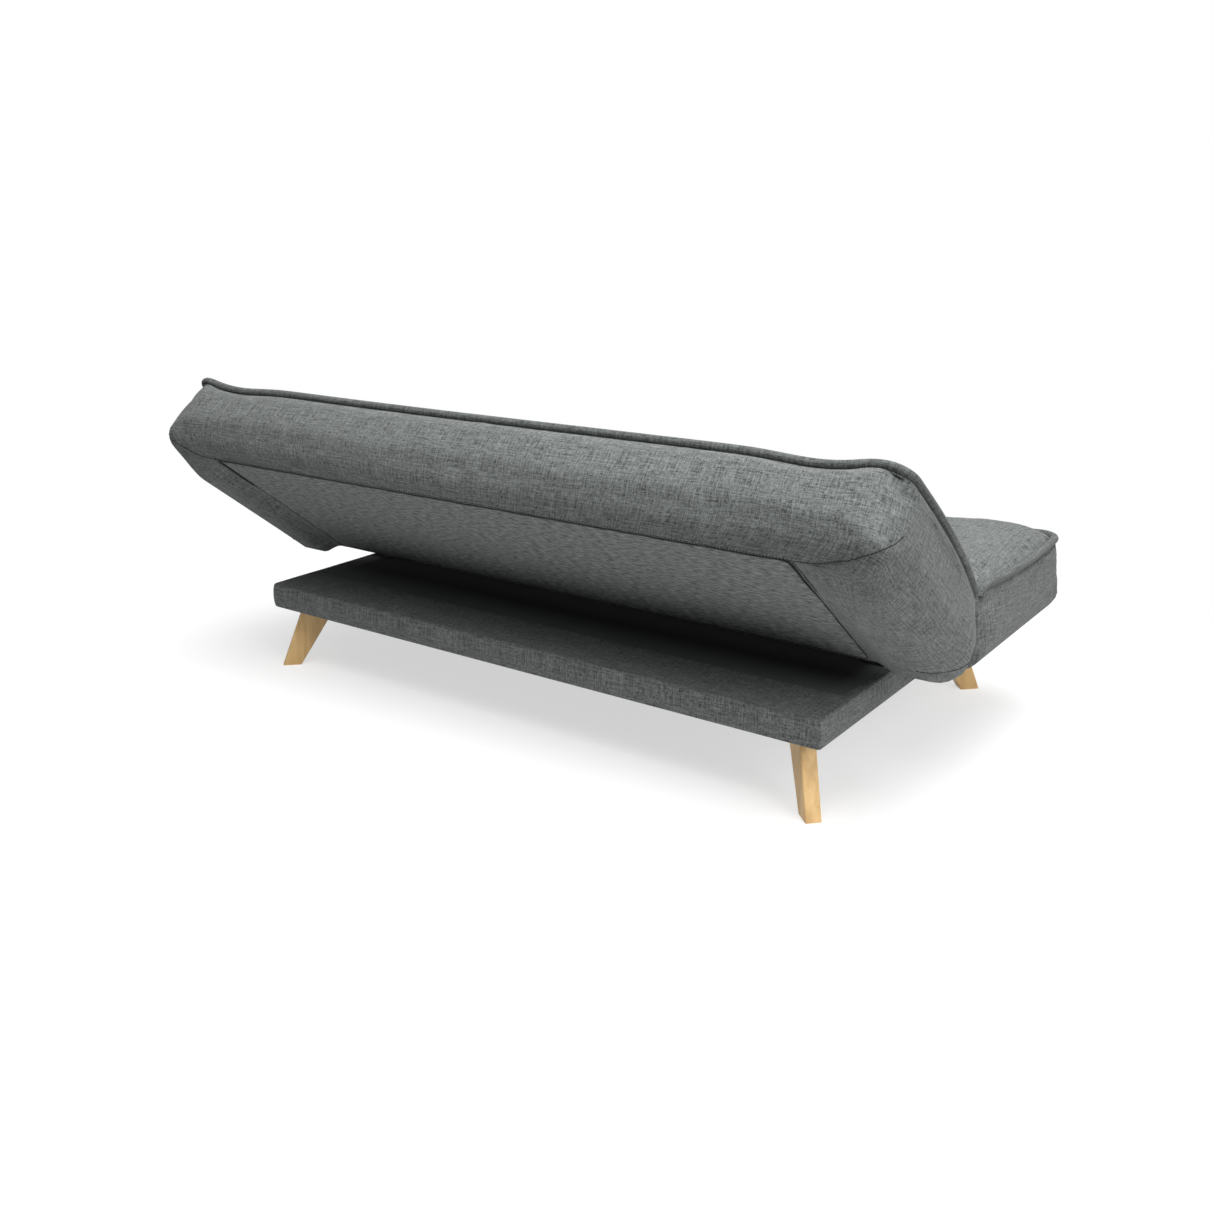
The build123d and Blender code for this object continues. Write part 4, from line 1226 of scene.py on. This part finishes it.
class SOFABED_OT_stitches(Operator):
    """Sew a row of stitches round each panel, a dark cord in each panel's seam as a painted shadow line, and
    the curved seams of the ends
    """

    bl_idname = "sofa_bed.stitches"
    bl_label = "Panel stitches"

    def execute(self, context):
        scene = context.scene
        trim = scene.sofa_trim
        thread = seam_shade_thread("seam_shade_thread", scene.sofa_finish)
        tree = run_tree()
        half, hinge, outer = panel_outline()
        out, corner = trim.stitch_inset, 0.016
        seam_stitch = 1.3 * trim.stitch_pitch
        round_panel = np.roll(ring(half + out, hinge - out, outer + out, corner, 0), -LONG_CELLS, 0)
        three_sides = round_panel[:-LONG_CELLS + 1]
        seam = ring(half, hinge, outer, PANEL_CORNER, 0)
        wobbles = ((0.0007, 97), (0.0005, 41))  # sideways reach, and radians per metre
        for line in (three_sides, seam):
            across = line[:, [1, 0]]
            line[:, :2] += sum(reach * np.sin(across * rate) for reach, rate in wobbles)
        for body in ("seat", "back"):
            runs = (
                ("stitches", self.sewn(three_sides, body, trim.stitch_thickness), False,
                 trim.stitch_length, trim.stitch_thickness),
                # A continuous dark cord in the panel seam: a painted shadow line
                ("seam_shadow_line", self.sewn(seam, body, trim.seam_shadow_thickness), True,
                 seam_stitch, trim.seam_shadow_thickness),
                ("end_seams", self.on_cover(body), False, seam_stitch, trim.stitch_thickness),
            )
            for label, paths, closed, length, thickness in runs:
                piece = grow(f"{body}_panel_{label}", paths, closed, tree, {
                    "Pitch": trim.stitch_pitch, "Length": length, "Thickness": thickness, "Finish": thread})
                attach(piece, body)
        return {"FINISHED"}

    @staticmethod
    def sewn(line, body, thickness):
        """A panel's row in place: flush where it can lie on the base, proud beyond the base's rear."""
        flush, proud, run_start, run_end = -0.0002, 0.0008, 0.003, 0.03
        beyond = line[:, 1] - BASE_REAR if body == "back" else np.full(len(line), -1.0)
        laid = line.copy()
        laid[:, 2] = thickness / 2 + flush - (thickness / 2 + proud) * smoothstep(run_start, run_end, beyond)
        return [[body_matrix(body) @ Vector(point) for point in laid]]

    @staticmethod
    def on_cover(body):
        """The seams of a cushion's ends, laid on its cover."""
        place = body_matrix(body)
        cover = bpy.data.objects[f"{body}_cushion"].data
        corners, faces = [v.co for v in cover.vertices], [p.vertices for p in cover.polygons]
        surface = BVHTree.FromPolygons(corners, faces)
        lines = [along_line(seam) for seam in end_seams(body)]
        return [[surface.find_nearest(place @ Vector(point))[0] for point in line] for line in lines]


class SOFABED_OT_base(Operator):
    """Make the padded cover of the base with its turned-under hem, and the dark sheet on its deck that is
    painted shade
    """

    bl_idname = "sofa_bed.base"
    bl_label = "Base cover and lining"

    def execute(self, context):
        scene = context.scene
        size = scene.sofa_base
        low, high = BASE_BOX
        rings = [self.uneven_ring(inset, level, size) for inset, level in self.profile(size)]
        top = patch(rings[-1])
        # The top sinks a little where the dark sheet of painted shade lies
        end_inset, side_inset = size.shade_sheet_insets
        edge_run = 0.004
        from_side = np.minimum(top[..., 1] - low.y, high.y - top[..., 1])
        inside = np.minimum(high.x - np.abs(top[..., 0]) - end_inset, from_side - side_inset)
        top[..., 2] -= size.shade_sheet_depth * smoothstep(-edge_run, edge_run, inside)
        mesh = skin(rings, top, "base_padding")
        mesh.materials.append(bpy.data.materials["slub_linen"])
        piece = show("base_padding", mesh)
        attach(piece, "base")
        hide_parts("base_cover")

        # A dark sheet on the deck: painted shade that pales at its edges
        corner_radius, sunk, proud = 0.01, -0.0002, 0.0006
        edges = [
            ring(high.x - end_inset, low.y + side_inset, high.y - side_inset, corner_radius,
                 high.z - size.shade_sheet_depth + offset)
            for offset in (sunk, proud)
        ]
        mesh = skin(edges, patch(edges[-1]), "deck_shade_sheet")
        corner = Vector((end_inset, side_inset, 0))
        mesh.materials.append(shade_sheet_cloth(
            "deck_lining_cloth", scene.sofa_finish, low + corner, high - corner, size.shade_sheet_fade_runs))
        piece = show("deck_shade_sheet", mesh)
        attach(piece, "base")
        return {"FINISHED"}

    @staticmethod
    def profile(size):
        """Insets and levels of the cover's rings, from inside the hem, up the side, to the top's edge."""
        low, high = BASE_BOX[0].z, BASE_BOX[1].z
        hem = DUST_BOX[0].x - BASE_BOX[0].x
        dust = DUST_BOX[1].z - DUST_BOX[0].z
        fold_in, fold_out, fold_rise = 0.001, 0.002, 0.0004
        rows = [(hem + fold_in, low + 2 * dust), (hem, low + fold_rise), (hem - fold_out, low)]
        rows += [(0.6 * hem, low), (0.3 * hem, low)]
        for angle in quarter(3):
            across, up = 1 - math.sin(angle), 1 - math.cos(angle)
            rows.append((size.low_round * across, low + size.low_round * up))
        for level in np.linspace(low + size.low_round, high - size.top_round, 7)[1:-1]:
            rows.append((-size.side_puff * math.sin(math.pi * (level - low) / (high - low)), level))
        for angle in quarter(5):
            across, down = 1 - math.cos(angle), 1 - math.sin(angle)
            rows.append((size.top_round * across, high - size.top_round * down))
        return rows

    @staticmethod
    def uneven_ring(inset, level, size):
        """One ring of the cover, rippled a little on the sides."""
        low, high = BASE_BOX
        ripple_share, side_run, corner_growth = 0.4, 0.02, 0.4
        slow_waves, slow_start, quick_waves, quick_shift, quick_share = 9, 1.3, 23, 60, 0.7
        radius = size.corner_radius + corner_growth * max(inset, 0)
        made = ring(high.x - inset, low.y + inset, high.y - inset, radius, level)
        around = np.arctan2(made[:, 1] * 2, made[:, 0])
        slow = np.sin(around * slow_waves + slow_start)
        quick = np.sin(around * quick_waves + level * quick_shift)
        height = size.ripple * ripple_share * smoothstep(low.z, low.z + side_run, level)
        from_middle = np.linalg.norm(made[:, :2], axis=1)
        made[:, :2] *= 1 + (height * (slow + quick_share * quick) / from_middle)[:, None]
        return made


class SOFABED_OT_staples(Operator):
    """Staple the base cover's hem round the dust cover"""

    bl_idname = "sofa_bed.staples"
    bl_label = "Hem staples"

    def execute(self, context):
        scene = context.scene
        trim = scene.sofa_trim
        wire = metal("staple_wire", tuple(scene.sofa_finish.zinc), 1.0, 0.35, 900)
        low, high = BASE_BOX
        inset, corner = 0.75 * (DUST_BOX[0].x - low.x), 0.012
        line = ring(high.x - inset, low.y + inset, high.y - inset, corner, low.z)
        piece = grow("hem_staples", [line], True, run_tree(), {
            "Pitch": trim.staple_pitch, "Length": trim.staple_length, "Thickness": trim.staple_thickness,
            "Finish": wire})
        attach(piece, "base")
        return {"FINISHED"}


class SOFABED_OT_timber(Operator):
    """Give the legs, rails, deck and slats their wood"""

    bl_idname = "sofa_bed.timber"
    bl_label = "Timber"

    def execute(self, context):
        finish = context.scene.sofa_finish
        leg_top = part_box("leg_rear_right")[1]
        knots_below_top = (((0.055, 0.012, 0.026), 0.008), ((0.085, 0.03, 0.008), 0.005))
        knots = [(leg_top - Vector(below), radius) for below, radius in knots_below_top]
        honey = leg_wood("honey_leg_wood", finish, knots)
        for end in ("front", "rear"):
            for side in ("left", "right"):
                dress(f"leg_{end}_{side}", honey)
        rail = timber("sawn_rail_wood", finish, (5, 60, 60))
        for name in ("base_front_rail", "base_rear_rail", "base_left_rail", "base_right_rail",
                     "base_hinge_rail", "base_stretchers", "leg_blocks"):
            dress(name, rail)
        ply = timber("plywood_sheet", finish, (8, 45, 45), layers=True)
        for name in ("base_deck", "seat_slats", "back_slats"):
            dress(name, ply)
        return {"FINISHED"}


class SOFABED_OT_hardware(Operator):
    """Give the frames, hinges and fasteners their steel, and the base its dust cover cloth"""

    bl_idname = "sofa_bed.hardware"
    bl_label = "Hardware"

    def execute(self, context):
        finish = context.scene.sofa_finish
        tube = metal("powder_coated_tube", tuple(finish.powder_coat), 0.0, 0.5, 700)
        black = metal("blackened_hinge_steel", tuple(finish.hinge_black), 0.6, 0.45, 350)
        bright = metal("plated_fasteners", tuple(finish.zinc), 1.0, 0.28, 900)
        for name in ("seat_frame", "back_frame"):
            dress(name, tube)
        for side in ("left", "right"):
            for kind in ("hinge_bracket", "seat_arm", "back_arm", "ratchet", "pawl"):
                dress(f"{kind}_{side}", black)
        for name in ("pawl_springs", "pivot_bolts", "pivot_washers", "pivot_nuts"):
            dress(name, black)
        for name in ("leg_bolts", "bracket_screws", "seat_arm_bolts", "back_arm_bolts", "pawl_pins"):
            dress(name, bright)
        dress("base_dust_cover", bonded_cloth("bonded_dust_cloth", finish))
        return {"FINISHED"}


class SOFABED_OT_stage(Operator):
    """Set the white floor, the soft lamps and the camera"""

    bl_idname = "sofa_bed.stage"
    bl_label = "Stage"

    def execute(self, context):
        scene = context.scene
        stage = scene.sofa_stage
        scene.view_settings.view_transform = "Standard"

        camera = bpy.data.objects.new("camera", bpy.data.cameras.new("camera"))
        camera.data.lens = stage.camera_lens
        camera.data.sensor_width = 36.0
        camera.location = stage.camera_place
        camera.rotation_euler = (math.pi / 2 - stage.camera_pitch, 0, stage.camera_turn)
        scene.collection.objects.link(camera)
        scene.camera = camera

        self.lamp(scene, "overhead_lamp", stage.overhead_power,
                  place=(-0.65, 0.55, 3.1), target=(-0.2, 0.3, 0), width=3.4, depth=2.9)
        self.lamp(scene, "side_lamp", stage.side_power,
                  place=(-3.4, 0.9, 1.8), target=(0, 0.1, 0.35), width=2.4, depth=2.0)
        self.sky(scene, stage.sky_strength)
        self.floor(stage.floor_reach, stage.floor_whiteness)
        return {"FINISHED"}

    @staticmethod
    def lamp(scene, name, power, place, target, width, depth):
        """A rectangular lamp that points at a target."""
        data = bpy.data.lights.new(name, "AREA")
        data.shape = "RECTANGLE"
        data.size, data.size_y = width, depth
        data.energy = power
        lamp = bpy.data.objects.new(name, data)
        lamp.location = place
        lamp.rotation_euler = (Vector(target) - Vector(place)).to_track_quat("-Z", "Y").to_euler()
        scene.collection.objects.link(lamp)

    @staticmethod
    def seen(tree):
        """1 for rays that show the background itself: straight to the camera, in gloss or through glass."""
        path = add(tree, "ShaderNodeLightPath")
        shown = calc(tree, "MAXIMUM", path.outputs["Is Camera Ray"], path.outputs["Is Glossy Ray"])
        return calc(tree, "MAXIMUM", shown, path.outputs["Is Transmission Ray"])

    def sky(self, scene, strength):
        """Even light that is brightest overhead; the background itself shows white."""
        world = bpy.data.worlds.new("studio_sky")
        world.use_nodes = True
        tree = world.node_tree
        tree.nodes.clear()
        dark_below, zenith = 0.65, 2.7
        way = add(tree, "ShaderNodeSeparateXYZ", {0: add(tree, "ShaderNodeTexCoord").outputs["Generated"]})
        height = add(tree, "ShaderNodeMapRange", {
            "Value": way.outputs["Z"], "From Min": dark_below, "To Min": 0.0, "To Max": zenith * strength})
        light = add(tree, "ShaderNodeBackground", {"Color": (*WHITE, 1), "Strength": height.outputs[0]})
        white = add(tree, "ShaderNodeBackground", {"Color": (*WHITE, 1), "Strength": 1.0})
        shown = {0: self.seen(tree), 1: light.outputs[0], 2: white.outputs[0]}
        surface = add(tree, "ShaderNodeMixShader", shown).outputs[0]
        add(tree, "ShaderNodeOutputWorld", {"Surface": surface})
        scene.world = world

    def floor(self, reach, whiteness):
        """A white floor that keeps the sofa bed's shadow and fades into the background further out."""
        side = 30
        lit_to, dim_from, lit_tone, dim_tone, shadow_gain = 1.3, 1.9, 0.9, 0.05, 1.3
        mesh = bpy.data.meshes.new("studio_floor")
        corners = [(-side, -side, 0), (side, -side, 0), (side, side, 0), (-side, side, 0)]
        mesh.from_pydata(corners, [], [range(4)])
        material = bpy.data.materials.new("white_floor")
        material.use_nodes = True
        tree = material.node_tree
        tree.nodes.clear()
        away = add(tree, "ShaderNodeVectorMath", {0: by_object(tree)}, operation="LENGTH").outputs["Value"]
        dim = add(tree, "ShaderNodeMapRange", {
            "Value": away, "From Min": lit_to, "From Max": dim_from, "To Min": lit_tone, "To Max": dim_tone})
        fade = add(tree, "ShaderNodeMapRange", {
            "Value": away, "From Min": 0.5 * reach, "From Max": reach, "To Min": whiteness, "To Max": 1.0},
            interpolation_type="SMOOTHSTEP").outputs[0]
        shade = calc(tree, "MULTIPLY", calc(tree, "SUBTRACT", 1.0, fade), shadow_gain)
        light = add(tree, "ShaderNodeBsdfDiffuse", {"Color": dim.outputs[0]})
        plain = add(tree, "ShaderNodeBsdfDiffuse", {"Color": shade})
        white = add(tree, "ShaderNodeEmission", {"Color": (*WHITE, 1), "Strength": fade})
        bright = add(tree, "ShaderNodeAddShader", {0: plain.outputs[0], 1: white.outputs[0]})
        shown = {0: self.seen(tree), 1: light.outputs[0], 2: bright.outputs[0]}
        surface = add(tree, "ShaderNodeMixShader", shown).outputs[0]
        add(tree, "ShaderNodeOutputMaterial", {"Surface": surface})
        mesh.materials.append(material)
        show("studio_floor", mesh)


class SOFABED_PT_pieces(Panel):
    """The sofa bed's pieces and sizes"""

    bl_idname = "SOFABED_PT_pieces"
    bl_label = "Sofa bed"
    bl_space_type = "VIEW_3D"
    bl_region_type = "UI"
    bl_category = "Sofa Bed"

    def draw(self, context):
        for operator in OPERATORS:
            self.layout.operator(operator.bl_idname)
        for name, (group, label) in GROUPS.items():
            box = self.layout.box()
            box.label(text=label)
            for prop in group.__annotations__:
                box.prop(getattr(context.scene, name), prop)


OPERATORS = (
    SOFABED_OT_covers, SOFABED_OT_panels, SOFABED_OT_piping, SOFABED_OT_stitches, SOFABED_OT_base,
    SOFABED_OT_staples, SOFABED_OT_timber, SOFABED_OT_hardware, SOFABED_OT_stage,
)
GROUPS = {
    "sofa_cushion": (CushionSizes, "Cushions"),
    "sofa_trim": (TrimSizes, "Piping and stitches"),
    "sofa_base": (BaseSizes, "Base"),
    "sofa_finish": (Finishes, "Finishes"),
    "sofa_stage": (StageSizes, "Stage"),
}


def register():
    """Adds the settings to scenes, and the operators and panel to Blender."""
    for name, (group, label) in GROUPS.items():
        bpy.utils.register_class(group)
        setattr(bpy.types.Scene, name, PointerProperty(type=group, name=label))
    for item in (*OPERATORS, SOFABED_PT_pieces):
        bpy.utils.register_class(item)


def unregister():
    """Takes away what register added."""
    for item in (SOFABED_PT_pieces, *reversed(OPERATORS)):
        bpy.utils.unregister_class(item)
    for name, (group, _) in reversed(GROUPS.items()):
        delattr(bpy.types.Scene, name)
        bpy.utils.unregister_class(group)


def main():
    """Builds all the pieces and the stage."""
    register()
    bpy.ops.sofa_bed.covers()
    bpy.ops.sofa_bed.panels()
    bpy.ops.sofa_bed.piping()
    bpy.ops.sofa_bed.stitches()
    bpy.ops.sofa_bed.base()
    bpy.ops.sofa_bed.staples()
    bpy.ops.sofa_bed.timber()
    bpy.ops.sofa_bed.hardware()
    bpy.ops.sofa_bed.stage()


if __name__ == "__main__":
    main()
